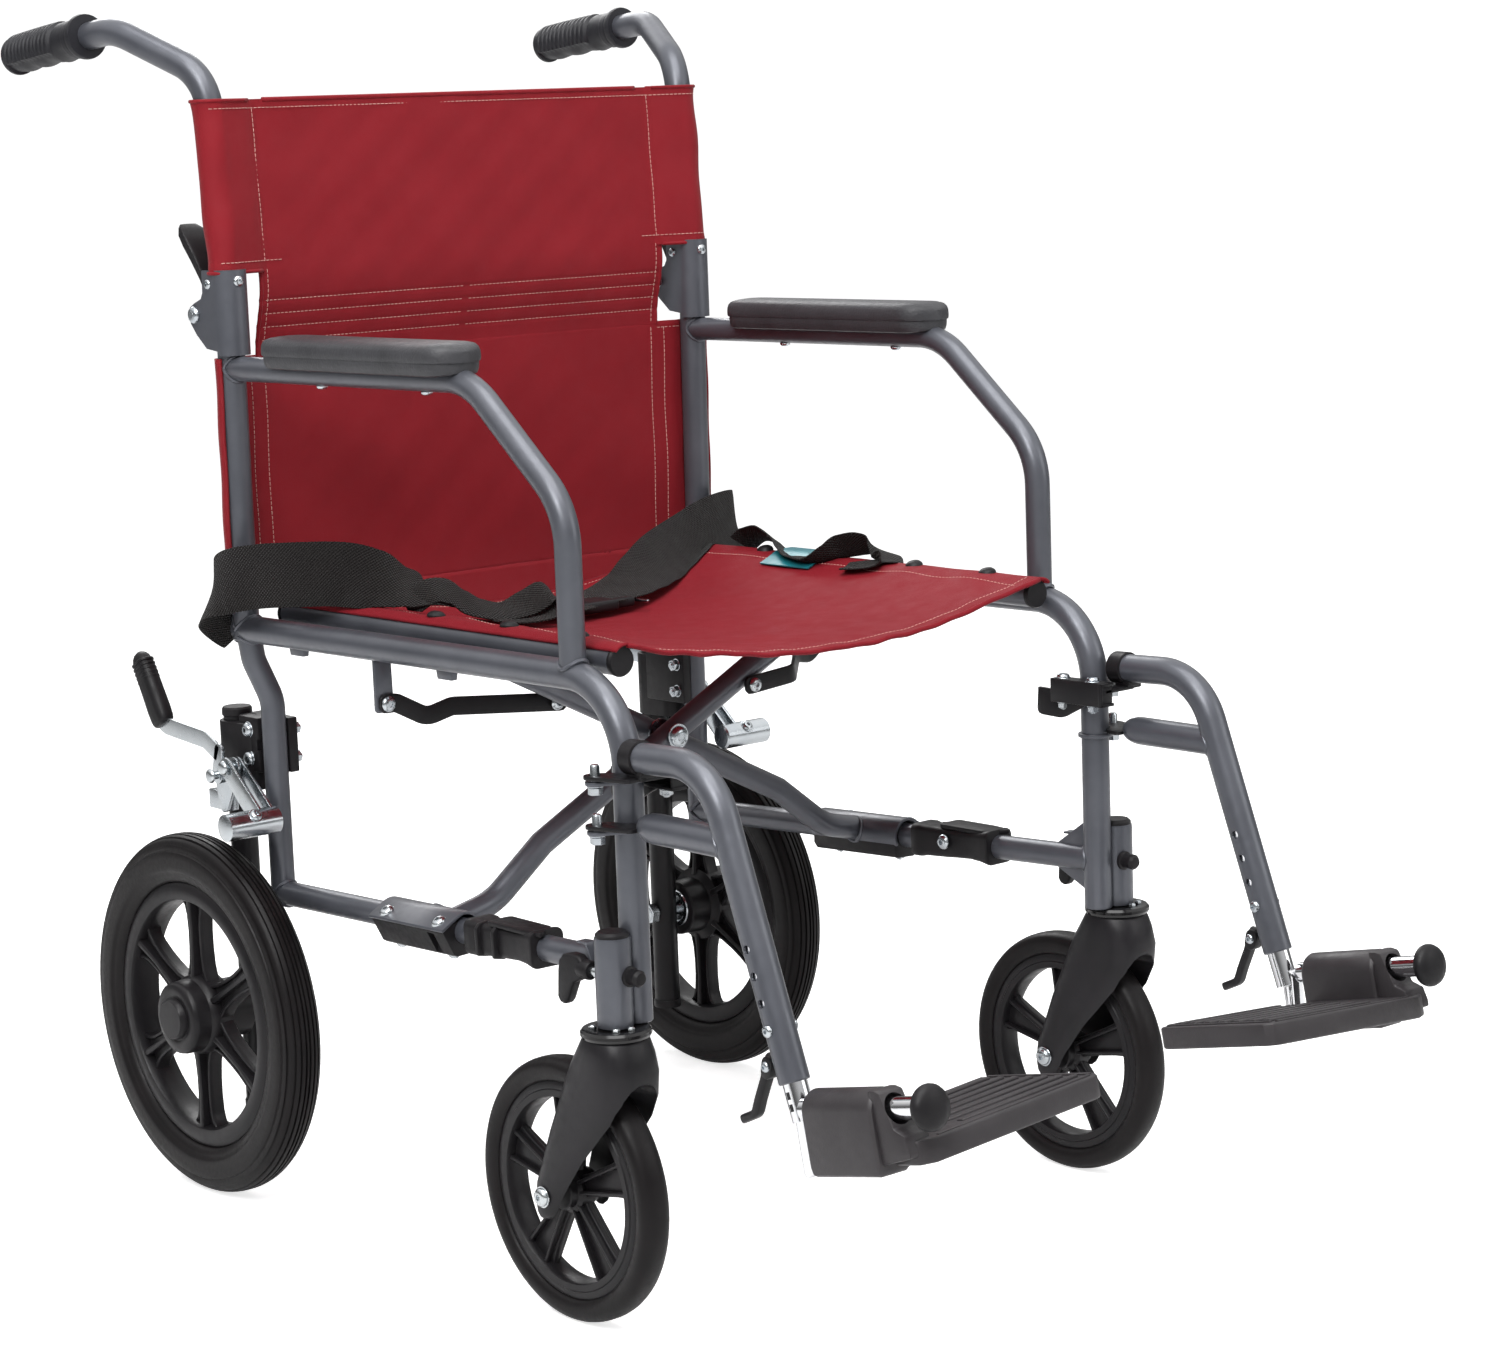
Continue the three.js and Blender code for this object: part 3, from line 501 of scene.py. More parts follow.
def bump(nt, height, distance, strength=1.0, normal=None):
    node = nt.nodes.new("ShaderNodeBump")
    set_inputs(node, {"Distance": distance, "Strength": strength})
    nt.links.new(height, node.inputs["Height"])
    if normal is not None:
        nt.links.new(normal, node.inputs["Normal"])
    return node.outputs["Normal"]


def grained(name, rgb, rgb2, rough, metal=0.0, fine=900, grain=0.00003, coarse=18,
            rough_var=0.07, spec=0.4, coat=0.0, mottle=0.5):
    """Fine grain (fine: noise scale, grain: height in m) over slow changes of tone."""
    mat, nt, bsdf = new_mat(name)
    slow = noise(nt, coarse, 4)
    mid = noise(nt, coarse * 9, 3)
    colour = mix_colour(nt, ramp(nt, slow, 0, 1, 0.35, 0.65), linear(rgb), linear(rgb2))
    nt.links.new(colour, bsdf.inputs["Base Color"])
    nt.links.new(ramp(nt, mid, rough - rough_var, rough + rough_var), bsdf.inputs["Roughness"])
    set_inputs(bsdf, {"Metallic": metal, "Specular IOR Level": spec})
    if coat:
        set_inputs(bsdf, {"Coat Weight": coat, "Coat Roughness": 0.25})
    fine_normal = bump(nt, noise(nt, fine, 2), grain)
    nt.links.new(bump(nt, slow, 0.0002, mottle, fine_normal), bsdf.inputs["Normal"])
    return mat


def woven(name, rgb, rgb2, pitch, plane, rough=0.62, sheen=0.35, depth=0.00009, tint=None,
          wrinkle=0.0009, spec=0.4):
    """Plain weave on two object axes, or on the strap's own uv; pitch and depth in metres."""
    mat, nt, bsdf = new_mat(name)
    coord = nt.nodes.new("ShaderNodeTexCoord")
    split = nt.nodes.new("ShaderNodeSeparateXYZ")
    nt.links.new(coord.outputs["UV" if plane == "uv" else "Object"], split.inputs[0])

    def math_node(operation):
        node = nt.nodes.new("ShaderNodeMath")
        node.operation = operation
        return node

    def wave(axis, phase=0.0):
        angle = math_node("MULTIPLY_ADD")
        nt.links.new(split.outputs[axis], angle.inputs[0])
        angle.inputs[1].default_value = 2 * math.pi / pitch
        angle.inputs[2].default_value = phase
        sine = math_node("SINE")
        nt.links.new(angle.outputs[0], sine.inputs[0])
        return sine.outputs[0]

    warp, weft = wave(0), wave(2 if plane == "xz" else 1, phase=1.3)
    weave = math_node("MULTIPLY")
    nt.links.new(warp, weave.inputs[0])
    nt.links.new(weft, weave.inputs[1])
    slow = noise(nt, 7, 4)
    mid = noise(nt, 60, 4)
    base = linear(rgb)
    tone = mix_colour(nt, ramp(nt, slow, 0, 1), base, linear(rgb2))
    darker = tuple(c * 0.8 for c in base[:3]) + (1.0,)
    tone = mix_colour(nt, ramp(nt, weave.outputs[0], 0, 0.5, -1, 1), tone, darker)
    nt.links.new(tone, bsdf.inputs["Base Color"])
    nt.links.new(ramp(nt, mid, rough - 0.06, rough + 0.08), bsdf.inputs["Roughness"])
    set_inputs(bsdf, {"Sheen Weight": sheen, "Sheen Roughness": 0.4, "Specular IOR Level": spec})
    if tint:
        set_inputs(bsdf, {"Sheen Tint": tint})
    thread_normal = bump(nt, weave.outputs[0], depth)
    wrinkled = bump(nt, noise(nt, 26, 3), wrinkle, 0.5, thread_normal)
    nt.links.new(wrinkled, bsdf.inputs["Normal"])
    return mat


MAT = {
    "frame": grained("paint_charcoal", (86, 88, 95), (77, 79, 86), rough=0.36, metal=0.4,
                     fine=1500, grain=0.00002, spec=0.5, coat=0.2, mottle=0.2),
    "black_steel": grained("paint_black_satin", (27, 26, 28), (20, 19, 21), rough=0.38,
                           fine=1400, grain=0.00002, spec=0.24, mottle=0.2),
    "black_plastic": grained("plastic_black", (29, 27, 29), (22, 21, 23), rough=0.44,
                             fine=1100, grain=0.00006, spec=0.2),
    "fork": grained("fork_moulded", (30, 28, 31), (24, 23, 25), rough=0.4, fine=1300, spec=0.24),
    "gloss_black": grained("ring_gloss", (20, 19, 20), (16, 15, 16), rough=0.16,
                           grain=0.00001, rough_var=0.05),
    "rim": grained("plastic_rim", (30, 28, 30), (24, 23, 25), rough=0.36,
                   fine=1300, grain=0.00004, spec=0.2),
    "tyre": grained("rubber_tyre", (23, 20, 21), (18, 16, 17), rough=0.42,
                    fine=700, grain=0.00006, coarse=30, spec=0.16, mottle=0.2),
    "pad": grained("vinyl_pad", (60, 60, 63), (49, 49, 52), rough=0.48,
                   fine=520, grain=0.00035, coarse=24, spec=0.35),
    "grip": grained("rubber_grip", (38, 38, 42), (29, 29, 33), rough=0.5,
                    grain=0.00008, spec=0.25),
    "zinc": grained("zinc_plate", (196, 200, 202), (172, 178, 184), rough=0.24, metal=1.0,
                    grain=0.000003, coarse=10, rough_var=0.05, mottle=0.0),
    "chrome": grained("chrome", (225, 226, 228), (212, 213, 216), rough=0.08, metal=1.0,
                      fine=300, grain=0.000003, rough_var=0.04, mottle=0.03),
    "footplate": grained("plastic_plate", (54, 51, 53), (45, 42, 44), rough=0.44,
                         grain=0.00010, spec=0.34),
    "cloth_seat": woven("nylon_seat", (131, 22, 34), (121, 18, 29), pitch=0.0011, plane="xy",
                        sheen=0.04, tint=(1.0, 0.6, 0.6, 1), spec=0.16),
    "cloth_back": woven("nylon_back", (131, 19, 30), (121, 15, 26), pitch=0.0011, plane="xz",
                        sheen=0.10, tint=(1.0, 0.7, 0.7, 1), spec=0.2),
    "webbing": woven("webbing", (30, 27, 26), (21, 18, 18), pitch=0.0030, plane="uv",
                     rough=0.7, sheen=0.06, depth=0.0009, wrinkle=0.0004, spec=0.18),
    "thread": grained("thread", (210, 168, 158), (192, 146, 138), rough=0.7,
                      fine=2500, grain=0.0001),
    "teal": grained("plastic_teal", (30, 120, 130), (24, 100, 112), rough=0.35),
}


def put(name, body, mat, shape, sign=1, replaces=None, smooth=32):
    """Make the object, in metres; sign -1 mirrors it. smooth: sharp edge angle in degrees."""
    verts = np.array(shape.verts, float)
    verts[:, 0] *= sign
    verts[:, 1] -= Y_SHIFT
    verts /= 1000.0
    faces = [tuple(reversed(f)) for f in shape.faces] if sign < 0 else shape.faces
    mesh = bpy.data.meshes.new(name)
    mesh.from_pydata(verts.tolist(), [], faces)
    layer = mesh.uv_layers.new(name="UVMap")
    corner = np.zeros(len(mesh.loops), np.int32)
    mesh.loops.foreach_get("vertex_index", corner)
    uv = np.array(shape.uv, float)[corner]
    layer.data.foreach_set("uv", uv.astype(np.float32).ravel())
    mesh.validate()
    mesh.shade_smooth()
    mesh.set_sharp_from_angle(angle=math.radians(smooth))
    mesh.materials.append(MAT[mat])
    obj = bpy.data.objects.new(name, mesh)
    bpy.context.scene.collection.objects.link(obj)
    if body:
        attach(obj, body)
    if replaces:
        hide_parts(replaces)
    return obj


def mount(side, name, body, mat, shape, replaces=None, smooth=32):
    """put() for one of a pair, with the side's endings added to the names."""
    sign, letter, word = side
    put(f"{name}_{letter}", f"{body}_{word}", mat, shape, sign,
        replaces and f"{replaces}_{letter}", smooth)


def build_pairs(*builders):
    for side in SIDES:
        for build in builders:
            build(side)


# ---------------------------------------------------------------- side frames
ARM_Z = 691.5
ARM_POST_Y = -91.4
SIDE_RAIL_Z = 481.5


def rail_axis(y):
    """Point on the lower rail, which rises and spreads from the rear post to the front one."""
    t = (y - REAR_Y) / (POST_Y - REAR_Y)
    return vec(REAR_X + 15 * t, y, 255.5 + 17.5 * t)


def frame_tubes(side):
    # seat-height rail and front post, upper and lower rear post, lower rail, arm loop
    part = tube([(242.5, 349, 478.4), (POST_X, POST_Y, SIDE_RAIL_Z, 62),
                 (POST_X, POST_Y, 233)], R_MAIN, 26)
    part += tube([(243.6, 338, 712), (243, 341, 470)], R_MAIN, 26)
    part += tube([(242, 340, 478), (239, 338.5, 452, 30), (REAR_X, REAR_Y, 418, 40),
                  (REAR_X, REAR_Y, 246)], R_SEC, 24)
    part += tube([(226, 336, 255.4), (241, -148, 272.9)], R_SEC, 24)
    part += tube([(243, 336, ARM_Z), (241.8, 16.7, ARM_Z, 70), (POST_X, ARM_POST_Y, 601.8, 60),
                  (POST_X, ARM_POST_Y, 482.5)], R_SEC, 24)
    # caster stem housing and two gussets
    part += lathe([(11.6, 233), (13.2, 233.4), (13.5, 235), (13.5, 297), (13.2, 299),
                   (12.2, 299.6)], (STEM_X, STEM_Y, 0), UP, 28)
    part += prism([(-146, 303), (-138, 303), (-106, 281), (-106, 261), (-138, 246),
                   (-146, 246)], "x", 239.5, 242.5, 0.5)
    part += prism([(330, 248), (338, 248), (338, 290), (326, 266), (300, 262), (300, 250)],
                  "x", 224.5, 227.5, 0.5)
    part += weld((POST_X, ARM_POST_Y, SIDE_RAIL_Z), UP, R_SEC, BACK, R_MAIN, 1.7)
    part += weld((243.3, 338.6, ARM_Z), FRONT, R_SEC, UP, R_MAIN, 1.7)
    part += weld((POST_X, POST_Y, 273), rail_axis(-10) - rail_axis(-60), R_SEC, UP, R_MAIN, 1.6)
    part += weld((REAR_X, REAR_Y, 255.6), (0, -1, 0.036), R_SEC, UP, R_SEC, 1.6)
    part += weld((242.4, 340, 478.6), UP, R_MAIN, BACK, R_MAIN, 1.6)
    part += weld((242.4, 340, 478.6), (-0.05, 0, -1), R_SEC, BACK, R_MAIN, 1.6)
    for z in (374, 410):  # hanger pin plates
        part += plate([(POST_X, POST_Y, R_MAIN + 2.6), (PIN_X, PIN_Y, 7.5)], "z", z, z + 3, 0.5)
    # plate that takes the stay, and two lugs under the side rail
    part += prism([(474, 229), (474, 245), (429, 245), (427, 243), (427, 230), (429, 228)],
                  "y", 156.5, 159.5, 0.5)
    for y in (60, 262):
        part += prism([(y, 471), (y + 22, 471), (y + 20, 461.5), (y + 2, 461.5)],
                      "x", 234, 240, 0.8)
    mount(side, "frame_tubes", "frame", "frame", part, "side_frame")


def frame_pins(side):
    part = Shape()
    for z in (367, 403):
        part += lathe([(3.0, 0), (3.6, 0.6), (3.6, 20.5), (2.8, 22)], (PIN_X, PIN_Y, z), UP, 18)
        part += hexa((PIN_X, PIN_Y, z), UP, 9.6, 5.4)
        part += washer((PIN_X, PIN_Y, z + 5.8), UP, 6.4, 1.1)
    mount(side, "frame_pins", "frame", "zinc", part)


def frame_plugs(side):
    # on the stem housing, ahead of the lower rail's front end, and on the rear post's top
    part = lathe([(10.5, 297), (12.6, 299.4), (12.6, 301.5), (10.4, 303.5), (0, 303.9)],
                 (STEM_X, STEM_Y, 0), UP, 26)
    part += lathe([(7.6, 162.6), (7.6, 164.6), (6.0, 165.4), (5.6, 170), (6.2, 171.4),
                   (6.2, 174.2), (4.4, 176.4), (0, 177)], (257.5, 0, 271), FRONT, 24)
    part += lathe([(10.3, -2.5), (10.8, 0), (10.8, 3), (9, 4.2), (0, 4.6)],
                  (243.65, 337.8, 711), UP, 22)
    mount(side, "frame_plugs", "frame", "black_plastic", part)


# side view of the wing knob behind the caster stem: (y, z)
KNOB_OUTLINE = [
    (-118, 263.5), (-118.5, 276.5), (-113, 280), (-104, 280.5), (-96, 278.5), (-91, 273.5),
    (-89.5, 266), (-88, 246), (-90.5, 241.5), (-96.5, 240.5), (-100, 244.5), (-107, 258.5)]


def stem_knob(side):
    part = prism(KNOB_OUTLINE, "x", 257.2, 266.8, 2.6, 4)
    part += lathe([(0, -126), (6.2, -125.6), (7.2, -124), (7.4, -118), (6.4, -113), (0, -112)],
                  (STEM_X, 0, 270), BACK, 24)
    mount(side, "stem_knob", "frame", "black_plastic", part)
    part = lathe([(4.4, -138), (4.4, -131), (3.6, -130.4), (3.6, -124)],
                 (STEM_X, 0, 270), BACK, 20)
    mount(side, "stem_knob_screw", "frame", "zinc", part)
    part = strip([(254, -104, 287.6), (254, -113.5, 288, 3), (254, -123, 268)],
                 9, 1.8, LEFT, 0.5, 4)
    mount(side, "stem_tab", "frame", "frame", part)


# side view cut from the hinge channel's rear: (y, z)
HINGE_VOID = [
    (335, 695), (336, 706), (352, 708), (366, 719), (374, 728), (376, 735), (374, 741),
    (367, 744.5), (357, 748), (354, 753), (353, 790), (400, 790), (400, 695)]


def hinge(side):
    """Channel round the rear post, open at the back."""
    def channel(radius, y, y_end):
        arc = [math.pi + math.pi * i / 16 for i in range(17)]
        return ([(CANE_X + radius * math.cos(a), y + radius * math.sin(a)) for a in arc]
                + [(CANE_X + radius, y_end), (CANE_X - radius, y_end)])

    part = cut(prism(channel(14.4, 336, 378), "z", 702.4, 771),
               prism(channel(11.6, 336.6, 395), "z", 690, 790),
               prism(HINGE_VOID, "x", 195, 290))
    mount(side, "hinge_channel", "frame", "frame", part, "hinge_bracket")
    part = dome((CANE_X, 322.3, 762), FRONT, 4.6, 3.0)
    for sx in (1, -1):
        part += dome((CANE_X + sx * 14.2, 345, 760), (sx, 0, 0), 4.2, 2.4)
    mount(side, "hinge_screws", "frame", "zinc", part)


# right half of each pad section: (fraction of half width, z), bottom to top
PAD_TOP = [
    (0.9, 704.6), (0.975, 705.2), (1.0, 707), (1.0, 710), (0.985, 713.4), (0.93, 716.2),
    (0.82, 718.2), (0.6, 719.4), (0.3, 719.9)]
PAD_BASE = [(0.78, 694.6), (0.86, 695.4), (0.93, 698.5), (0.955, 702), (0.955, 705.6)]
PAD_Y0, PAD_Y1 = 20.0, 273.0


def pad_loft(section, y0, y1, z_base, drop):
    """Section run from y0 to y1, rounded in plan, its height falling by drop at the ends."""
    half_width, round_end, count = 25.6, 24, 48
    rows = []
    for i in range(count + 1):
        y = y0 + (y1 - y0) * (0.5 - 0.5 * math.cos(math.pi * i / count))
        e = max(0.0, 1 - min(y - y0, y1 - y) / round_end)
        width = max(half_width * math.sqrt(max(1 - e ** 2.3, 0.0)), 3.0)
        top = 1 - drop * e ** 3
        rows.append([(242.3 + a * width, y, z_base + (z - z_base) * top) for a, z in section])
    return fix(skin(rows, caps=True))


def arm_pad(side):
    """A cushion on a narrower shell."""
    section = [(-a, z) for a, z in PAD_TOP] + [(0, 720.1)] + PAD_TOP[::-1]
    mount(side, "arm_pad_top", "frame", "pad",
          pad_loft(section, PAD_Y0, PAD_Y1, 704.6, drop=0.45), "arm_pad")
    section = [(-a, z) for a, z in PAD_BASE] + PAD_BASE[::-1]
    mount(side, "arm_pad_base", "frame", "pad",
          pad_loft(section, PAD_Y0 + 1.5, PAD_Y1 - 1.5, 705.0, drop=0.25))
    part = dome((242, 72, 681.6), DOWN, 4.6, 3.0) + dome((242, 212, 681.6), DOWN, 4.6, 3.0)
    mount(side, "arm_pad_screws", "frame", "zinc", part)


def wheel_post(side):
    x = 225.6
    foot = (x, AXLE_Y, 0)
    part = lathe([(10, 66), (11.3, 66.3), (11.6, 67), (11.6, 400)], foot, UP, 26)
    mount(side, "wheel_post_tube", "frame", "black_steel", part, "wheel_post")
    part = lathe([(11.7, 399), (12.6, 400), (12.8, 402), (12.6, 405.4), (11.4, 407),
                  (0, 407.4)], foot, UP, 26)
    part += lathe([(12.2, 62), (12.6, 63), (12.6, 68), (12.0, 69)], foot, UP, 26)
    # collar round the post, then the block that joins it to the rear post, both slit
    part += cut(plate([(x, AXLE_Y, 15), (x, 366, 13)], "z", 340, 396, 0.8),
                lathe([(11.7, 300), (11.7, 420)], foot, UP, 28),
                prism(rect(224.6, 360, 226.6, 377), "z", 300, 420))
    part += cut(prism([(207.5, 327), (216.5, 327), (216.5, 346), (234.5, 346), (234.5, 374),
                       (228, 380), (207.5, 380)], "z", 356, 402, 1.2),
                lathe([(10.4, 300), (10.4, 420)], (REAR_X, REAR_Y, 0), UP, 28),
                lathe([(12.4, 300), (12.4, 420)], foot, UP, 28),
                prism(rect(221.6, 365, 223.6, 385), "z", 300, 420),
                prism(rect(230, 344, 236, 348.2), "z", 374.5, 384))
    mount(side, "wheel_post_clamp", "frame", "black_plastic", part, "wheel_post_bracket")
    part = Shape()
    for z in (367, 391):
        part += dome((234.6, 360, z), LEFT, 6.2, 4.4) + washer((234.2, 360, z), LEFT, 7.0, 1.0)
        part += nutbolt((207.5, 336, z), RIGHT, 9, 5, 2)
    mount(side, "wheel_post_bolts", "frame", "zinc", part)


def rear_axle(side):
    part = lathe([(5.4, 206), (6, 206.8), (6, 300)], (0, AXLE_Y, REAR_R), LEFT, 24)
    part += hexa((213.2, AXLE_Y, REAR_R), RIGHT, 17, 8)
    mount(side, "rear_axle_bolt", "frame", "zinc", part, "rear_axle")


build_pairs(frame_tubes, frame_pins, frame_plugs, stem_knob, hinge, arm_pad, wheel_post,
            rear_axle)

# ---------------------------------------------------------------- rear wheels
REAR_X_MID = 273.0
REAR_HUB = (REAR_X_MID, AXLE_Y, REAR_R)
# tyre wall, one half: (radius, distance from the wheel's middle plane)
TYRE_WALL = [
    (112.3, 11), (113.5, 13.6), (116, 15.6), (119, 16.9), (121.5, 17.3), (122.4, 18.3),
    (124.2, 18.9), (127, 19), (133, 19), (136.5, 18.8), (138.6, 18.2), (139.4, 17.0),
    (140.8, 16.9)]
GROOVES = ((16.2, 15.0), (11.6, 10.4), (7.0, 5.8), (2.4, 1.2))  # outer and inner edge
# rim band and hub: (radius, distance along the axle)
REAR_BAND = [
    (97, -12.5), (98, -14), (101, -14.6), (108, -14.6), (112.2, -12), (112.2, 12),
    (108, 14.6), (101, 14.6), (98, 14), (97, 12.5), (96.2, 4), (96.2, -4)]
REAR_HUB_PROFILE = [
    (24, -33), (25, -32), (25.5, -12), (28.5, -10), (33.5, -8), (34, 6), (33.2, 12),
    (31, 14.5), (30.6, 25), (29.8, 28.6), (28, 30.2), (19.5, 30.8), (18.6, 30.2),
    (17.6, 30.4), (17.0, 34.6), (15.6, 36), (0, 36.3)]
# spoke: (radius, half width)
SPOKE = [(26, 17), (34, 13.5), (42, 11.2), (56, 9.8), (70, 9.6), (84, 10.8), (92, 13.4),
         (97.4, 18)]


def both_faces(half):
    return half + [(r, -x) for r, x in reversed(half)]


def rear_tyre(side):
    def crown(x):
        return REAR_R - 9.5 * (abs(x) / 18.0) ** 2.7

    tread = [(crown(16.9), 16.9)]
    for a, b in GROOVES:
        tread += [(crown(a + 0.35), a + 0.35), (crown(a) - 1.7, a),
                  (crown(b) - 1.7, b), (crown(b - 0.35), b - 0.35)]
        if b > 2:
            tread.append((crown(b - 2), b - 2))
    tread.append((REAR_R, 0.4))
    part = lathe(both_faces(TYRE_WALL + tread), REAR_HUB, LEFT, 120, closed=True)
    mount(side, "rear_tyre_tread", "rear_wheel", "tyre", part, "rear_tyre", smooth=40)


def rear_rim(side):
    part = lathe(REAR_BAND, REAR_HUB, LEFT, 96, closed=True)
    part += lathe(REAR_HUB_PROFILE, REAR_HUB, LEFT, 56)
    for i in range(6):
        a = math.radians(i * 60 + 30)
        cosine, sine = math.cos(a), math.sin(a)
        across = (0, -sine, cosine)

        def spoke_point(r):
            return REAR_X_MID + 1, AXLE_Y + r * cosine, REAR_R + r * sine

        path = [spoke_point(r) for r, _ in SPOKE]
        part += sweep(path, rounded(2, 7, 0.6, 3), across, [(w, 1) for _, w in SPOKE])
        # the spoke's middle rib, then the ribs along its two edges
        part += sweep([spoke_point(r) for r in (28, 40, 70, 97)], rounded(4.2, 22, 1.3, 3),
                      across, [(1.5, 1.1), (1.1, 1.0), (1, 0.9), (1.4, 1.05)])
        for e in (-1, 1):
            edge = [vec(p) + vec(across) * (e * (w - 1.6)) for p, (_, w) in zip(path, SPOKE)]
            part += sweep(edge, rounded(3.0, 13, 1.0, 3), across)
    mount(side, "rear_rim_spokes", "rear_wheel", "rim", part, "rear_rim", smooth=38)


def rear_bearing(side):
    part = lathe([(8, 0), (11.5, 0.2), (12.5, 1), (16.5, 1), (17, 0.2), (17.5, -1)],
                 (REAR_X_MID - 33.2, AXLE_Y, REAR_R), RIGHT, 36)
    mount(side, "rear_bearing", "rear_wheel", "zinc", part)


build_pairs(rear_tyre, rear_rim, rear_bearing)

# ---------------------------------------------------------------- casters
CASTER_R = 100
CASTER_Y = STEM_Y + 57.0  # the wheel trails behind the stem
CASTER_HUB = (STEM_X, CASTER_Y, 100.0)
# fork, crown to tip: (y behind the stem, z, half width in x, half depth)
FORK_STATIONS = [
    (0, 228.6, 17, 17), (0, 227.6, 21.6, 21.6), (0.2, 224, 23.6, 24.4), (0.6, 216, 25.0, 28.0),
    (1.4, 205, 25.6, 32.0), (4.5, 193, 26.0, 33.4), (11.5, 179, 26.4, 32.0),
    (23, 161, 27.2, 28.4), (36, 141, 28.4, 24.0), (48, 119, 29.4, 19.8),
    (56.4, 104, 29.8, 17.4), (58, 97, 29.8, 16.2), (60.4, 89.5, 29.6, 13.4),
    (62.2, 85, 29.0, 9.4), (63, 83, 28, 4.4)]
# space for the wheel seen from the front: (z, half width)
FORK_GAP = [(60, 24), (104, 24), (130, 22.8), (156, 20.8), (174, 18.6), (184, 15.6),
            (191, 10.6), (194, 5)]
CROWN_RING = [
    (0, 224.5), (22, 224.8), (25.2, 226.2), (26.4, 228.4), (26.2, 230.6), (24.6, 232.4),
    (21.6, 233.0), (17.5, 232.4), (9, 232.4), (0, 232.4)]
# (radius, distance from the wheel's middle plane)
CASTER_TYRE = [
    (82.2, 8.6), (83.5, 10.2), (86, 11.6), (89, 12.3), (92.5, 12.4), (95.5, 11.5),
    (97.9, 9.4), (99.2, 6.8), (99.9, 3.6), (CASTER_R, 0.6)]
CASTER_BAND = [
    (70.0, -8.6), (70.8, -10), (75.6, -10), (76.4, -9.0), (80.8, -9.0), (82.3, -8.0),
    (82.3, 8.0), (80.8, 9.0), (76.4, 9.0), (75.6, 10), (70.8, 10), (70.0, 8.6),
    (69.4, 3), (69.4, -3)]
CASTER_HUB_PROFILE = [
    (4.4, -14), (12.5, -14), (13.6, -13), (14, -8), (17.5, -6), (17.5, 6), (14, 8),
    (13.6, 13), (12.5, 14), (4.4, 14)]


def caster_fork(side):
    """One body from the crown down both sides, opened by the space for the wheel."""
    rows, last = [], len(FORK_STATIONS) - 1
    for i, (y, z, half_x, half_y) in enumerate(FORK_STATIONS):
        before, after = FORK_STATIONS[max(i - 1, 0)], FORK_STATIONS[min(i + 1, last)]
        dy, dz = after[0] - before[0], after[1] - before[1]
        length = math.hypot(dy, dz)
        ny, nz = -dz / length, dy / length
        square = min(1.0, i / 6)  # the round crown turns squarer downwards
        row = []
        for j in range(40):
            a = 2 * math.pi * j / 40
            c, s = math.cos(a), math.sin(a)
            px = half_x * math.copysign(abs(c) ** (1.0 - 0.52 * square), c)
            py = half_y * math.copysign(abs(s) ** (1.0 - 0.3 * square), s)
            row.append((STEM_X + px, STEM_Y + y + ny * py, z + nz * py))
        rows.append(row)
    gap = [(60, -24)] + FORK_GAP + [(194.6, 0)] + [(z, -w) for z, w in FORK_GAP[:0:-1]]
    part = cut(fix(skin(rows, caps=True)),
               rod((STEM_X - 15.2, *CASTER_HUB[1:]), (STEM_X + 15.2, *CASTER_HUB[1:]),
                   107, 96, 0.4),
               prism([(z, STEM_X + w) for z, w in gap], "y", STEM_Y - 70, STEM_Y + 130))
    mount(side, "caster_fork_body", "caster_fork", "fork", part, "caster_fork", smooth=42)
    part = lathe(CROWN_RING, (STEM_X, STEM_Y, 0), UP, 48)
    mount(side, "caster_crown_ring", "caster_fork", "gloss_black", part)


def caster_bolts(side):
    part = Shape()
    for e in (-1, 1):
        x = STEM_X + e * 30.1
        part += washer((x, *CASTER_HUB[1:]), (e, 0, 0), 8.2, 1.2)
        part += dome((x + e * 1.2, *CASTER_HUB[1:]), (e, 0, 0), 7.0, 3.6)
    part += lathe([(6, 226), (6, 240)], (STEM_X, STEM_Y, 0), UP, 20)
    for a in (-0.9, 0.5, 1.9, 3.4, 4.7):
        part += hexa((STEM_X + 17 * math.cos(a), STEM_Y + 17 * math.sin(a), 232.4), UP, 5.2, 2.6)
    mount(side, "caster_bolts", "caster_fork", "zinc", part)


def caster_tyre(side):
    part = lathe(both_faces(CASTER_TYRE), CASTER_HUB, LEFT, 96, closed=True)
    mount(side, "caster_tyre_ring", "caster_wheel", "tyre", part, "caster_tyre", smooth=40)


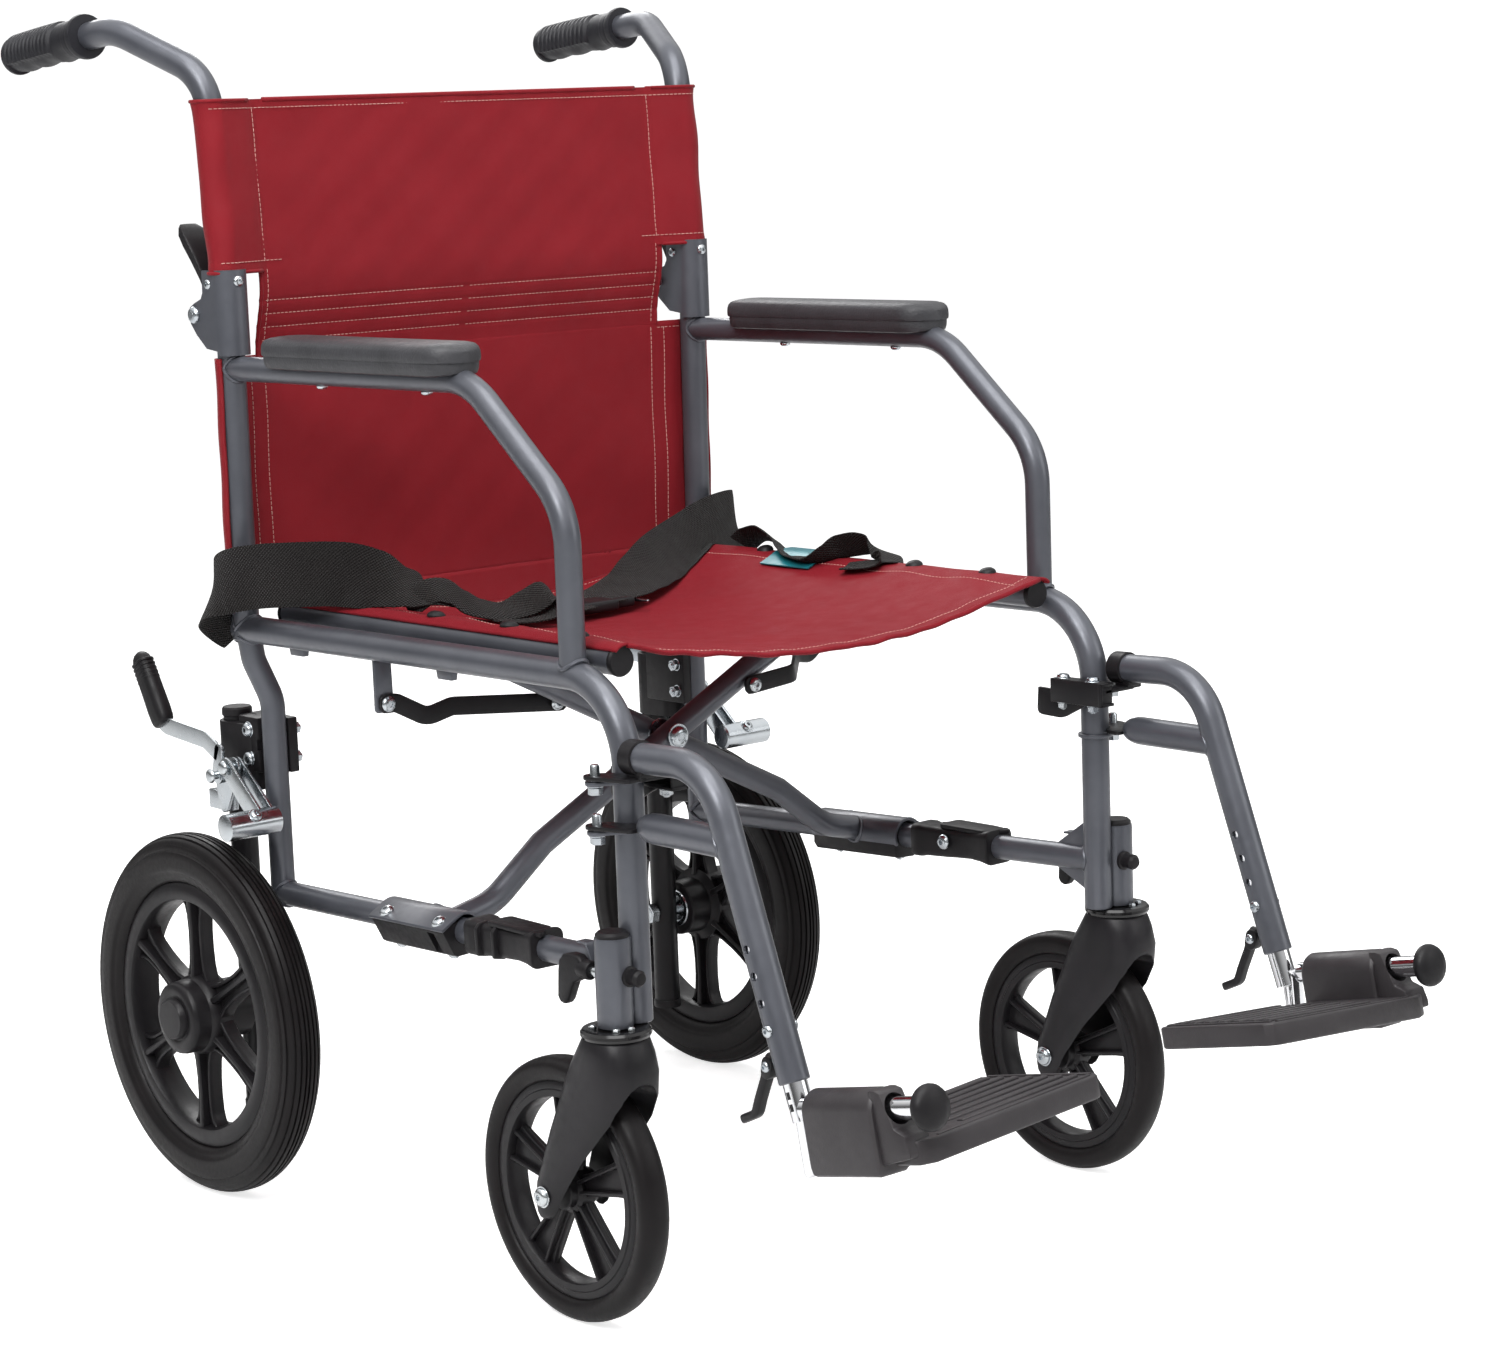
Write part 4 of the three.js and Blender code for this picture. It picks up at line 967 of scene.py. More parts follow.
def caster_rim(side):
    def rim_point(r, a):
        return CASTER_Y + r * math.cos(a), CASTER_HUB[2] + r * math.sin(a)

    part = lathe(CASTER_BAND, CASTER_HUB, LEFT, 80, closed=True)
    part += lathe(CASTER_HUB_PROFILE, CASTER_HUB, LEFT, 36)
    for i in range(5):
        a = math.radians(i * 72 + 90)
        # thin web: (radius, angle from the spoke's middle), then two ribs at its edges
        web = ((13, -0.34), (40, -0.16), (71.5, -0.165), (71.5, 0.165), (40, 0.16), (13, 0.34))
        part += prism([rim_point(r, a + turn) for r, turn in web],
                      "x", STEM_X - 3.0, STEM_X + 3.0, 0.6)
        for d in (-1, 1):
            start = vec(STEM_X, *rim_point(13, a + d * 0.28))
            end = vec(STEM_X, *rim_point(71.4, a + math.radians(9.0 * d)))
            across = vec(LEFT).cross((end - start).normalized())
            path = [start.lerp(end, t) for t in (0, 0.12, 0.3, 0.7, 0.88, 1)]
            part += sweep(path, rounded(2, 4.4, 0.7, 3), across,
                          [(w, 1.3) for w in (4.8, 3.9, 3.4, 3.4, 4.2, 6.2)])
            part += sweep(path, rounded(2, 15, 0.8, 3), across,
                          [(w, 1) for w in (1.5, 1.3, 1.2, 1.2, 1.3, 1.6)])
    mount(side, "caster_rim_spokes", "caster_wheel", "rim", part, "caster_rim", smooth=38)


build_pairs(caster_fork, caster_bolts, caster_tyre, caster_rim)

# ---------------------------------------------------------------- cross brace and seat rails
FOOT_X, FOOT_Z, PIVOT_Z = 233.4, 264.4, 382.5
SLOPE = math.atan2(PIVOT_Z - FOOT_Z, FOOT_X)
BRACE_REACH = math.hypot(FOOT_X, PIVOT_Z - FOOT_Z)  # foot to pivot
RAIL_Y0, RAIL_Y1 = -111, 317


def brace(name, y, sign):
    """One brace from its foot at x = sign * FOOT_X up to the seat rail on the other side."""
    body = f"cross_{name}"
    rail_x = -sign * SEAT_RAIL_X

    def along(d):
        return sign * (FOOT_X - d * math.cos(SLOPE)), y, FOOT_Z + d * math.sin(SLOPE)

    part = tube([(sign * (FOOT_X - 3), y, FOOT_Z + 1), (sign * (FOOT_X - 48), y, FOOT_Z + 11, 60),
                 along(110), along(BRACE_REACH + 214)], R_SEC, 24)
    part += tube([along(BRACE_REACH + 198), (rail_x, y, SEAT_RAIL_Z)], R_SEC, 24)
    part += tube([(rail_x, RAIL_Y0, SEAT_RAIL_Z), (rail_x, RAIL_Y1, SEAT_RAIL_Z)], R_MAIN, 26)
    part += weld((rail_x, y, SEAT_RAIL_Z), (sign * math.cos(SLOPE), 0, -math.sin(SLOPE) - 0.35),
                 R_SEC, BACK, R_MAIN, 1.6)

    # saddle: a painted cover rolled over the lower rail, bolted through a black block below
    start, end = rail_axis(66), rail_axis(170)

    def run(section, a, b, edge):
        rows = [[p + vec(u, 0, w) for u, w in section] for p in (a, b)]
        return bevel(fix(skin(rows, caps=True)), edge, 2, 50)

    def mirrored(shape):
        return fix(shape.map(lambda p: vec(sign * p.x, p.y, p.z)))

    arc = [math.radians(210 - 150 * i / 18) for i in range(19)]
    cover = [(15.4 * math.cos(t), 15.4 * math.sin(t)) for t in arc]
    cover += [(22.8, 4.6), (23.4, 3.2), (22.2, 2.0)]
    cover += [(12.9 * math.cos(t), 12.9 * math.sin(t)) for t in reversed(arc)]
    part += mirrored(run(cover, start, end, 0.5))
    mid = start.lerp(end, 0.5)
    part += weld((sign * mid.x, mid.y, mid.z), (-sign * math.cos(0.23), 0, math.sin(0.23)),
                 R_SEC, BACK, 15.2, 1.5)
    put("brace_tubes_" + name, body, "frame", part, replaces="brace_" + name)

    section = [(-14, 3), (-14, -13), (-10.5, -18.5), (8.0, -19.5), (11.5, -17.5), (21.2, 1.5),
               (19.4, 3.4), (12, 7.0), (4, 9.0), (-8, 9.0)]
    block = run(section, start.lerp(end, 0.015), start.lerp(end, 0.985), 1.2)
    block = cut(block, box(start.lerp(end, 0.2) + vec(17, 0, -9), (14, 9, 17), 0.6))
    put("saddle_block_" + name, body, "black_plastic", mirrored(block))

    part, axis = Shape(), vec(0.5, 0, 0.866)
    for t in (0.13, 0.83):
        head = start.lerp(end, t) + vec(16.4, 0, 8.0)
        part += dome(head, axis, 6.0, 3.8) + washer(head - axis * 0.6, axis, 6.8, 1.0)
        part += nutbolt(head - axis * 27.0 + vec(2.0, 0, 0), axis * -1, 9, 4.6, 2.4)
    put("saddle_bolts_" + name, body, "zinc", mirrored(part))

    part = Shape()
    for rail_y, axis in ((RAIL_Y0, FRONT), (RAIL_Y1, BACK)):
        part += lathe([(10.6, -1), (11.7, 0), (11.9, 2.2), (10.8, 4.2), (0, 4.8)],
                      (rail_x, rail_y, SEAT_RAIL_Z), axis, 26)
    put("rail_plugs_" + name, body, "black_plastic", part)


def brace_pivot():
    part = rod((0, 80, PIVOT_Z), (0, 135, PIVOT_Z), 4, 16)
    part += washer((0, 85.6, PIVOT_Z), FRONT, 10.5, 1.4) + dome((0, 84.2, PIVOT_Z), FRONT, 8.4, 4.6)
    part += nutbolt((0, 130.4, PIVOT_Z), BACK, 13, 6, 3)
    part += lathe([(12, 0), (12, 2.0)], (0, 106.8, PIVOT_Z), BACK, 24)
    put("brace_pivot_bolt", "cross_a", "zinc", part, replaces="brace_bolt")


brace("a", 96.0, -1)
brace("b", 119.6, 1)
brace_pivot()

# ---------------------------------------------------------------- stays and rail clips
STAY_X, STAY_Z = 236.0, 434.0
STAY_END = [(STAY_X + 7, 154.3, STAY_Z), (STAY_X - 8, 154.3, STAY_Z, 12)]
STAY_ROUTE = {
    "r": STAY_END + [(200, 152.6, 419, 18), (178, 149, 425, 18), (76, 133.2, 416.5)],
    "l": STAY_END + [(200, 147, 419, 18), (178, 138, 423, 18), (126, 84, 418, 18),
                     (72, 82.6, 414)]}
STAY_SCREW = {"r": (86, 131.6, 417), "l": (81, 81.0, 414.6)}  # at the inner end
# clip body: (fraction along the clip, width, height)
CLIP_STATIONS = [
    (0, 28, 27), (0.02, 30, 28), (0.10, 30, 28), (0.16, 27, 26), (0.42, 26, 25),
    (0.55, 25, 24), (0.72, 24, 23.4), (0.86, 27, 25.5), (0.97, 31, 29), (1.0, 31, 29)]


def stay(side):
    letter = side[1]
    part = strip(STAY_ROUTE[letter], 15, 3, (0, 0.05, 1), 1.1, 5, ends=6)
    mount(side, "stay_strap", "stay", "black_steel", part, "stay")
    part = rod((STAY_X, 150, STAY_Z), (STAY_X, 163, STAY_Z), 3, 14)
    part += dome((STAY_X, 152.6, STAY_Z), FRONT, 6.4, 3.4)
    part += nutbolt((STAY_X, 159.8, STAY_Z), BACK, 9.6, 4.4, 1.6)
    part += dome(STAY_SCREW[letter], FRONT, 6.2, 3.2)
    if letter == "r":
        part += nutbolt((86, 134.9, 417), BACK, 9.6, 4.2, 1.4)
    mount(side, "stay_bolts", "stay", "zinc", part)


def rail_clip(side):
    start, end = rail_axis(49), rail_axis(-41)
    part = bevel(sweep([start.lerp(end, t) for t, _, _ in CLIP_STATIONS],
                       rounded(2, 2, 0.42, 5), LEFT,
                       [(w / 2, h / 2) for _, w, h in CLIP_STATIONS]), 0.8, 2, 50)
    # fins on the outer face, then the pad on top
    for t, h in ((0.22, 14.0), (0.46, 13.6)):
        x, y, z = start.lerp(end, t)
        part += prism([(z - h, x + 6), (z - h + 2, x + 16.5), (z + h - 5, x + 17.5),
                       (z + h - 1, x + 14), (z + h, x + 6)], "y", y - 1.9, y + 1.9, 0.9) \
            if False else bevel(prism([(z - h, x + 6), (z - h + 2, x + 16.5),
                                       (z + h - 5, x + 17.5), (z + h - 1, x + 14),
                                       (z + h, x + 6)], "y", y - 1.9, y + 1.9), 0.9)
    x, y, z = start.lerp(end, 0.62)
    part += plate([(x - 7, y + 22, 4), (x + 9, y + 22, 4), (x + 11, y - 18, 3),
                   (x + 9, y - 36, 2.5), (x - 7, y - 24, 3)], "z", z + 11.4, z + 15.2, 1.0)
    mount(side, "rail_clip_body", "frame", "black_plastic", part, "rail_clip")
    part = dome(start.lerp(end, 0.45) + vec(-14.6, 0, 2), RIGHT, 6.4, 4.2)
    mount(side, "rail_clip_bolts", "frame", "zinc", part)


build_pairs(stay, rail_clip)

# ---------------------------------------------------------------- hangers
LEG_DIR = Vector((0, -0.348, -0.9375)).normalized()  # down the hanger's front leg
LEG_END = Vector((HANGER_X, -331, 223))


def hanger_tubes(side):
    holes = [LEG_END - LEG_DIR * (38 + 19.2 * i) for i in range(4)]
    part = cut(tube([(HANGER_X, -163.6, 430.5), (HANGER_X, -253, 433.5, 52), LEG_END],
                    R_MAIN, 30),
               rod(LEG_END + LEG_DIR * 6, LEG_END - LEG_DIR * 126, 9.4, 26, 0.2),
               *[rod(p + vec(-30, 0, 0), p + vec(30, 0, 0), 3.2, 16, 0.1) for p in holes])
    # short tube behind the leg, closed by a rounded rear end
    part += lathe([(0, 174.5), (3.5, 174.8), (6.6, 177), (9.0, 181), (10.7, 187), (11.2, 193),
                   (11.2, 272)], (HANGER_X, 0, 381.6), FRONT, 28)
    bead = weld((HANGER_X, -280, 396), BACK, R_SEC, (0, -0.348, -0.9375), R_MAIN, 1.6)
    part += bead.map(lambda p: p + vec(0, 5.9, -15.5))
    mount(side, "hanger_tubes", "hanger", "frame", part, "hanger")


def hanger_plates(side):
    part = Shape()
    for z in (378.4, 414.4):
        hook = plate([(PIN_X, PIN_Y, 8.5), (262, -176, 4), (240, -176, 4), (240, -168, 3)],
                     "z", z, z + 3, 0.5)
        part += cut(hook, *[lathe([(r, z - 5), (r, z + 9)], (x, y, 0), UP, count)
                            for r, x, y, count in ((R_MAIN + 0.9, POST_X, POST_Y, 30),
                                                   (4.1, PIN_X, PIN_Y, 20))])
    part += box((HANGER_X, -177.5, 420.5), (13, 15, 7), 0.8)
    # inboard bracket that carries the latch
    part += plate([(250, -177, 6), (220, -177, 6)], "z", 414.4, 417.4, 0.5)
    part += prism([(213.2, -184), (228, -184), (228, -162), (226, -128), (213.2, -128)],
                  "z", 420.4, 423, 0.5)
    part += prism([(213.2, -184), (228, -184), (228, -160), (224, -132), (213.2, -128)],
                  "z", 404, 406.4, 0.5)
    part += box((214.3, -156, 413.5), (2.4, 56, 19), 0.6)
    part += box((220, -181.5, 413.5), (14, 3, 19), 0.6)
    mount(side, "hanger_plates", "hanger", "black_steel", part)
    part = lathe([(11.4, 0), (12.9, 0.6), (12.9, 13.4), (11.4, 14)],
                 (HANGER_X, -165.5, 430.6), (0, -1, 0.033), 28)
    mount(side, "hanger_collar", "hanger", "black_plastic", part)
    hole = LEG_END - LEG_DIR * 38
    part = dome(hole + vec(11.0, 0, 0), LEFT, 4.6, 3.2)
    part += dome(hole + vec(-11.0, 0, 0), RIGHT, 4.6, 3.0)
    mount(side, "hanger_screw", "hanger", "zinc", part)


# paddle that hangs below the inboard bracket, side view: (y, z)
LATCH_OUTLINE = [
    (-107.5, 413), (-106.2, 396), (-106.6, 393.4), (-108.4, 391.4), (-112, 390.6),
    (-130, 390.0), (-134, 390.4), (-138, 391.8), (-159.5, 402.6), (-159.6, 403.4),
    (-127, 403.4), (-127, 407.8), (-136, 407.8), (-136, 412.6)]


def latch(side):
    part = prism(LATCH_OUTLINE, "x", 220, 223, 0.5)
    part += rod((221.5, -135.5, 407.5), (221.5, -135.5, 419.8), 4.2, 20)
    mount(side, "latch_body", "latch", "black_steel", part, "hanger_latch")
    part = Shape()
    for y in (-135.5, -168):
        part += dome((220.5, y, 423.2), UP, 5.4, 3.6) + washer((220.5, y, 422.6), UP, 6.2, 0.9)
        part += nutbolt((220.5, y, 403.8), DOWN, 8.4, 4.0, 1.6)
    mount(side, "latch_screw", "hanger", "zinc", part)


STUB = Vector((257, -347, 208))  # rear end of the stub that carries the footplate
STUB_DIR = Vector((0, -0.9792, 0.2028)).normalized()
STUB_UP = Vector((0, 0.2028, 0.9792)).normalized()


def extension(side):
    leg = tube([LEG_END - LEG_DIR * 106, LEG_END + LEG_DIR * 27], 8.8, 26, chamfer=0.4)
    # this cutter stands clear of the tube: the cut only rebuilds the mesh and zeroes its uvs
    part = cut(leg, rod((200, 0, 0), (200, 1, 0), 0.2))
    part += tube([STUB + STUB_DIR * 1.5, STUB + STUB_DIR * 124], 8.0, 30, chamfer=0.6)
    part += plate([(-343, 205, 6), (-349, 164, 4)], "x", 246, 258, 1.4)
    mount(side, "extension_tube", "extension", "chrome", part, "extension")
    part = Shape()
    for d in (8.0, 16.5):
        middle = LEG_END + LEG_DIR * d + vec(8.7, 0, 0)
        part += strip([middle - LEG_DIR * 2.6, middle + LEG_DIR * 2.6], 3.2, 0.5,
                      (0, -LEG_DIR.z, LEG_DIR.y), 0.2)
    mount(side, "extension_slots", "extension", "black_steel", part)
    part = lathe([(7, -2), (12, -0.5), (15.4, 0.4), (16, 2.2), (15.9, 4.4), (14.6, 7.0),
                  (11.8, 9.0), (7, 10.2), (0, 10.6)], STUB + STUB_DIR * 124.3, STUB_DIR, 40)
    mount(side, "stub_knob", "extension", "black_plastic", part, "stub_cap")


def height_lever(side):
    _, y, z = LEG_END - LEG_DIR * 12
    part = strip([(HANGER_X, y + 19, z + 4), (HANGER_X, y + 25, z - 14, 14),
                  (HANGER_X, y + 32, z - 30, 12), (HANGER_X, y + 36, z - 41, 8),
                  (HANGER_X, y + 51, z - 48)], 9.5, 6.4, LEFT, 2.4, 5, ends=4)
    part += plate([(y + 19.5, z - 2, 5.5), (y + 21, z - 8, 5.2)],
                  "x", HANGER_X - 5, HANGER_X + 5, 1.0)
    mount(side, "height_lever_arm", "height_lever", "black_steel", part, "height_lever")
    part = dome((HANGER_X + 5, y + 20, z - 4), LEFT, 4.0, 2.4)
    part += dome((HANGER_X - 5, y + 20, z - 4), RIGHT, 4.0, 2.4)
    mount(side, "height_lever_pin", "height_lever", "zinc", part)


# Footplates are laid out as (along the stub, inboard, up).
PLATE_TILT = math.radians(4.0)  # the plate rises towards the middle of the chair
HEEL_STATIONS = [(13, 0.9), (14.2, 0.965), (16, 1), (40, 1), (60, 1), (81, 1),
                 (82.8, 0.965), (84, 0.9)]  # (along, scale)
KNUCKLE = [(80, -37), (112, -32), (112, -27), (109.5, -17), (100, -12.5), (95, 2),
           (91.5, 12.0), (86, 13.8), (80, 14)]  # (along, up)
PLATE_OUTLINE = [
    (16.5, 2.3), (16.5, 34), (4, 40), (4, 162), (6, 167), (11, 170), (110, 170), (116, 166),
    (118, 161), (118, 8), (112, -4), (90, -4), (79.1, 2.3)]  # (along, inboard)


def plate_point(t, inboard, up):
    if inboard > 16:
        up += (inboard - 16) * math.tan(PLATE_TILT)
    return STUB + STUB_DIR * t + vec(RIGHT) * inboard + STUB_UP * up


def laid(shape):
    return fix(shape.map(lambda p: plate_point(p.x, p.y, p.z)))


def bore(radius):
    return rod(plate_point(-20, 0, 0), plate_point(140, 0, 0), radius, 30, 0.2)


def footplate(side):
    section = [(14.7 * math.cos(math.pi * i / 16), 14.7 * math.sin(math.pi * i / 16))
               for i in range(17)]
    section += [(-14.7, -38), (-13.6, -42.4), (-11, -44), (11, -44), (13.6, -42.4), (14.7, -38)]
    heel = skin([[(t, -a * k, (b + 14) * k - 14) for a, b in section]
                 for t, k in HEEL_STATIONS], caps=True)
    part = cut(laid(heel), bore(8.4))
    knuckle = prism(KNUCKLE, "z", -11, 11, 1.4).map(lambda p: vec(p.x, p.z, p.y))
    part += cut(laid(knuckle), bore(10.6))
    mount(side, "footplate_heel", "footplate", "footplate", part, "footplate")
    part = laid(prism(PLATE_OUTLINE, "z", -38, -21.2, 2.0, 3))
    # raised treads across the top, then three low strips at the edges: (outline, top, bevel)
    raised = [(rect(t - 3.3, 46, t + 3.3, 158), -19.3, 1.0)
              for t in (15 + i * 14.6 for i in range(7))]
    raised += [(rect(6.4, 44, 9.6, 160), -20.0, 0.6), (rect(112.4, 14, 115.6, 160), -20.0, 0.6),
               (rect(10, 162, 112, 165), -20.0, 0.6)]
    for outline, top, edge in raised:
        part += laid(prism(outline, "z", -22, top, edge))
    mount(side, "footplate_tread", "footplate", "footplate", part)


build_pairs(hanger_tubes, hanger_plates, latch, extension, height_lever, footplate)

# ---------------------------------------------------------------- brakes
BRAKE_X = 249.0
STRAP_X = BRAKE_X + 3.5
# handle: (distance along, scale across x, scale in depth)
HANDLE_STATIONS = [
    (0, 0.72, 0.72), (1, 0.86, 0.86), (3, 0.95, 0.95), (6, 1, 1), (14, 1.02, 1.04),
    (30, 1, 1), (50, 0.98, 0.96), (58, 0.92, 0.88), (63, 0.8, 0.72), (66, 0.58, 0.5),
    (67.6, 0.3, 0.26)]


def brake_base(side):
    part = plate([(382, 353, 9), (362, 362, 8), (380, 328, 7)],
                 "x", BRAKE_X - 1.5, BRAKE_X + 1.5, 0.5)
    part += prism([(238, 376), (BRAKE_X - 1, 376), (BRAKE_X - 1, 405.8), (211.6, 405.8),
                   (211.6, 402.6), (238, 402.6)], "z", 322, 338, 0.6)
    mount(side, "brake_plate", "frame", "zinc", part, "brake_base")
    part = Shape()
    for y, z in ((382, 353), (362, 362)):
        part += rod((BRAKE_X - 3, y, z), (BRAKE_X + 13, y, z), 3.4, 16)
        part += dome((BRAKE_X + 10.4, y, z), LEFT, 6.2, 3.4, recess=False)
        part += dome((BRAKE_X - 1.5, y, z), RIGHT, 5.4, 2.2, recess=False)
    mount(side, "brake_rivets", "frame", "zinc", part)


def brake_lever(side):
    part = plate([(382, 353, 7.5), (378, 374, 6)], "x", BRAKE_X + 2, BRAKE_X + 5, 0.5)
    part += strip([(STRAP_X, 379, 371), (STRAP_X, 400, 381, 12), (STRAP_X, 458, 386),
                   (STRAP_X, 466, 388, 12), (STRAP_X, 486, 424)], 3, 15, LEFT, 1.0, 6)
    mount(side, "brake_strap", "brake_lever", "zinc", part, "brake_lever")
    start = vec(STRAP_X, 463, 387)
    along = (vec(STRAP_X, 497, 446) - start).normalized()
    part = sweep([start + along * t for t, _, _ in HANDLE_STATIONS],
                 rounded(15.5, 22.5, 7.2, 6), LEFT, [(a, b) for _, a, b in HANDLE_STATIONS])
    for i in range(5):  # raised bands near the tip
        middle = start + along * (42 + i * 4.0)
        part += sweep([middle - along * 1.2, middle - along * 0.7, middle + along * 0.7,
                       middle + along * 1.2], rounded(15.8, 22.8, 7.4, 6), LEFT,
                      [(0.94, 0.94), (1.0, 1.0), (1.0, 1.0), (0.94, 0.94)])
    mount(side, "brake_handle", "brake_lever", "black_plastic", part, "brake_grip", smooth=45)


def brake_shoe(side):
    y, z = 316, 322
    part = plate([(362, 362, 8.5), (320, 325, 9.5)], "x", BRAKE_X + 6, BRAKE_X + 9, 0.5)
    part += plate([(362, 362, 8), (322, 327, 9)], "x", BRAKE_X - 5.4, BRAKE_X - 2.6, 0.5)
    part += lathe([(9.4, 240), (11.2, 241.2), (11.2, 290), (9.4, 291)], (0, y, z), LEFT, 34)
    mount(side, "brake_shoe_bar", "brake_shoe", "zinc", part, "brake_shoe")
    axis = (0, -0.7, 0.7)
    part = dome((BRAKE_X + 16, y - 7.7, z + 7.7), axis, 5.2, 3.4)
    part += washer((BRAKE_X + 16, y - 7.3, z + 7.3), axis, 6.4, 1.0)
    mount(side, "brake_shoe_screw", "brake_shoe", "zinc", part)


build_pairs(brake_base, brake_lever, brake_shoe)

# ---------------------------------------------------------------- folding canes and grips
CANE_ROUTE = [(243.4, 337.4, 737), (245, 349, 925, 45), (279, 430, 966, 50), (282, 582, 951)]
# release paddle: (y, z, scale in x, scale in thickness)
PADDLE_STATIONS = [
    (360, 749, 5, 0.9), (364, 764, 8, 1.1), (371, 780, 11, 1.35), (379, 792, 12.4, 1.45),
    (387, 801, 11.6, 1.3), (393, 806, 8, 0.8)]


def cane(side):
    part = tube(CANE_ROUTE, R_MAIN, 26, 4)
    part += plate([(367, 735, 7.5), (340, 747, 8)], "x", 237, 249, 1.0)
    mount(side, "cane_tube", "cane", "frame", part, "cane")
    part = rod((225, 367, 735), (262, 367, 735), 3.9, 16)
    part += dome((257.9, 367, 735), LEFT, 7.0, 4.2) + nutbolt((228.7, 367, 735), RIGHT, 11, 5, 2)
    mount(side, "cane_bolt", "cane", "zinc", part)


def grip_radius(t, a):
    """Radius at fraction t of the length (0 in front) and angle a; the top is pi / 2."""
    r = 16.2
    if t < 0.055:  # flange
        r = 18.6 - 0.6 * (abs(t - 0.0275) / 0.0275) ** 2
    elif t < 0.09:
        r = 15.6
    elif t > 0.965:  # rounded rear end
        r = 16.2 * math.sqrt(max(1 - ((t - 0.965) / 0.035) ** 2 * 0.35, 0))
    if 0.14 < t < 0.94:
        r = 15.9 + 0.5 * math.sin(math.pi * (t - 0.14) / 0.8)
        # finger swells below
        r += 0.7 * max(0, -math.sin(a)) * math.sin(t * math.pi * 8)
        if t > 0.30 and math.sin(a) > -0.55:  # ribbed part
            r += 1.0
            r += 0.55 * (1 if math.sin(t * 2 * math.pi * 19) > 0 else -1)
        elif t > 0.285:
            r -= 1.2
    return r


def grip(side):
    start, end = vec(281.9, 467, 962.3), vec(282, 586.5, 950.5)
    length = (end - start).length
    along = (end - start).normalized()
    up = vec(LEFT).cross(along)
    count, size = 110, 40
    rows = []
    for i in range(count + 1):
        t = i / count
        row = []
        for j in range(size):
            a = 2 * math.pi * j / size
            out = vec(LEFT) * math.cos(a) + up * math.sin(a)
            row.append(start + along * (t * length) + out * grip_radius(t, a))
        rows.append(row)
    mount(side, "grip_sleeve", "cane", "grip", fix(skin(rows, caps=True)), "grip", smooth=40)


def back_release(side):
    part = sweep([(243.4, y, z) for y, z, _, _ in PADDLE_STATIONS], rounded(2, 6.6, 0.9, 5),
                 LEFT, [(a, b) for _, _, a, b in PADDLE_STATIONS])
    mount(side, "release_paddle", "back_release", "black_plastic", part, "back_release",
          smooth=45)
    part = prism([(356, 748), (362, 748), (364, 766), (359, 766)], "x", 238.5, 248.5, 0.8)
    mount(side, "release_tab", "back_release", "zinc", part)


build_pairs(cane, grip, back_release)


# ---------------------------------------------------------------- cloth helpers
def grid(nu, nv, point):
    """Open sheet from point(u, v), u and v in 0..1."""
    verts = [point(i / nu, j / nv) for i in range(nu + 1) for j in range(nv + 1)]
    faces = []
    for i in range(nu):
        for j in range(nv):
            a = i * (nv + 1) + j
            faces.append((a, a + nv + 1, a + nv + 2, a + 1))
    return Shape(verts, faces)


def shell(sheet_shape, thickness):
    """Closed sheet of the given thickness, centred on the open one."""
    bm = to_bm(sheet_shape)
    bmesh.ops.recalc_face_normals(bm, faces=bm.faces)
    bm.normal_update()
    bm.verts.index_update()
    n, half = len(bm.verts), thickness / 2
    verts = [v.co + v.normal * half for v in bm.verts]
    verts += [v.co - v.normal * half for v in bm.verts]
    faces = [tuple(v.index for v in f.verts) for f in bm.faces]
    faces += [tuple(i + n for i in reversed(f)) for f in faces]
    for edge in bm.edges:
        if len(edge.link_faces) != 1:
            continue
        a, b = (v.index for v in edge.verts)
        loop = [v.index for v in edge.link_faces[0].verts]
        if loop[(loop.index(a) + 1) % len(loop)] == b:
            a, b = b, a
        faces.append((a, b, b + n, a + n))
    bm.free()
    return fix(Shape(verts, faces))


def wander(x, y, seed):
    """Smooth wandering value from -1 to 1."""
    return (math.sin(x * 1.7 + seed) * math.cos(y * 2.3 + seed * 1.3)
            + 0.6 * math.sin(x * 3.9 + y * 2.1 + seed * 2.1)
            + 0.35 * math.sin(x * 7.3 - y * 5.2 + seed)) / 1.95


def trace(point, start, span, count, offset=(0, 0, 0)):
    """Points of a curve from start to start + span, each moved by offset."""
    return [vec(point(start + span * i / count)) + vec(offset) for i in range(count + 1)]


def stitches(points, normal):
    """Thread along a line of points, one short bar for each stitch."""
    pitch, length, radius = 4.0, 2.7, 0.3
    shape = Shape()
    points = [vec(p) for p in points]
    reach = [0.0]
    for a, b in zip(points, points[1:]):
        reach.append(reach[-1] + (b - a).length)

    def at(t):
        t = max(0.0, min(reach[-1], t))
        i = max(0, min(len(points) - 2, int(np.searchsorted(reach, t)) - 1))
        return points[i].lerp(points[i + 1], (t - reach[i]) / max(reach[i + 1] - reach[i], 1e-6))

    normal = vec(normal).normalized()
    t = 1.0
    while t + length < reach[-1]:
        a, b = at(t), at(t + length)
        middle = (a + b) / 2 + normal * (radius * 1.1)
        shape += sweep([a - normal * 0.1, middle, b - normal * 0.1], ring(radius, 5))
        t += pitch
    return shape


def blend_across(*objects):
    """Bake each object's transform into its mesh."""
    y = (100 - Y_SHIFT) / 1000
    for obj in objects:
        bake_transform(obj)


# ---------------------------------------------------------------- seat
SEAT_Y0, SEAT_Y1 = -120.0, 322.0
SEAT_HALF = 205  # half width of the part that hangs free
SEAT_FLAT = 0.86  # its share of the sheet's half width


def sling_z(x):
    return 474.6 + 27.4 * (min(abs(x), SEAT_HALF) / SEAT_HALF) ** 2.1


def seat_top(x):
    return sling_z(x) + 1.0


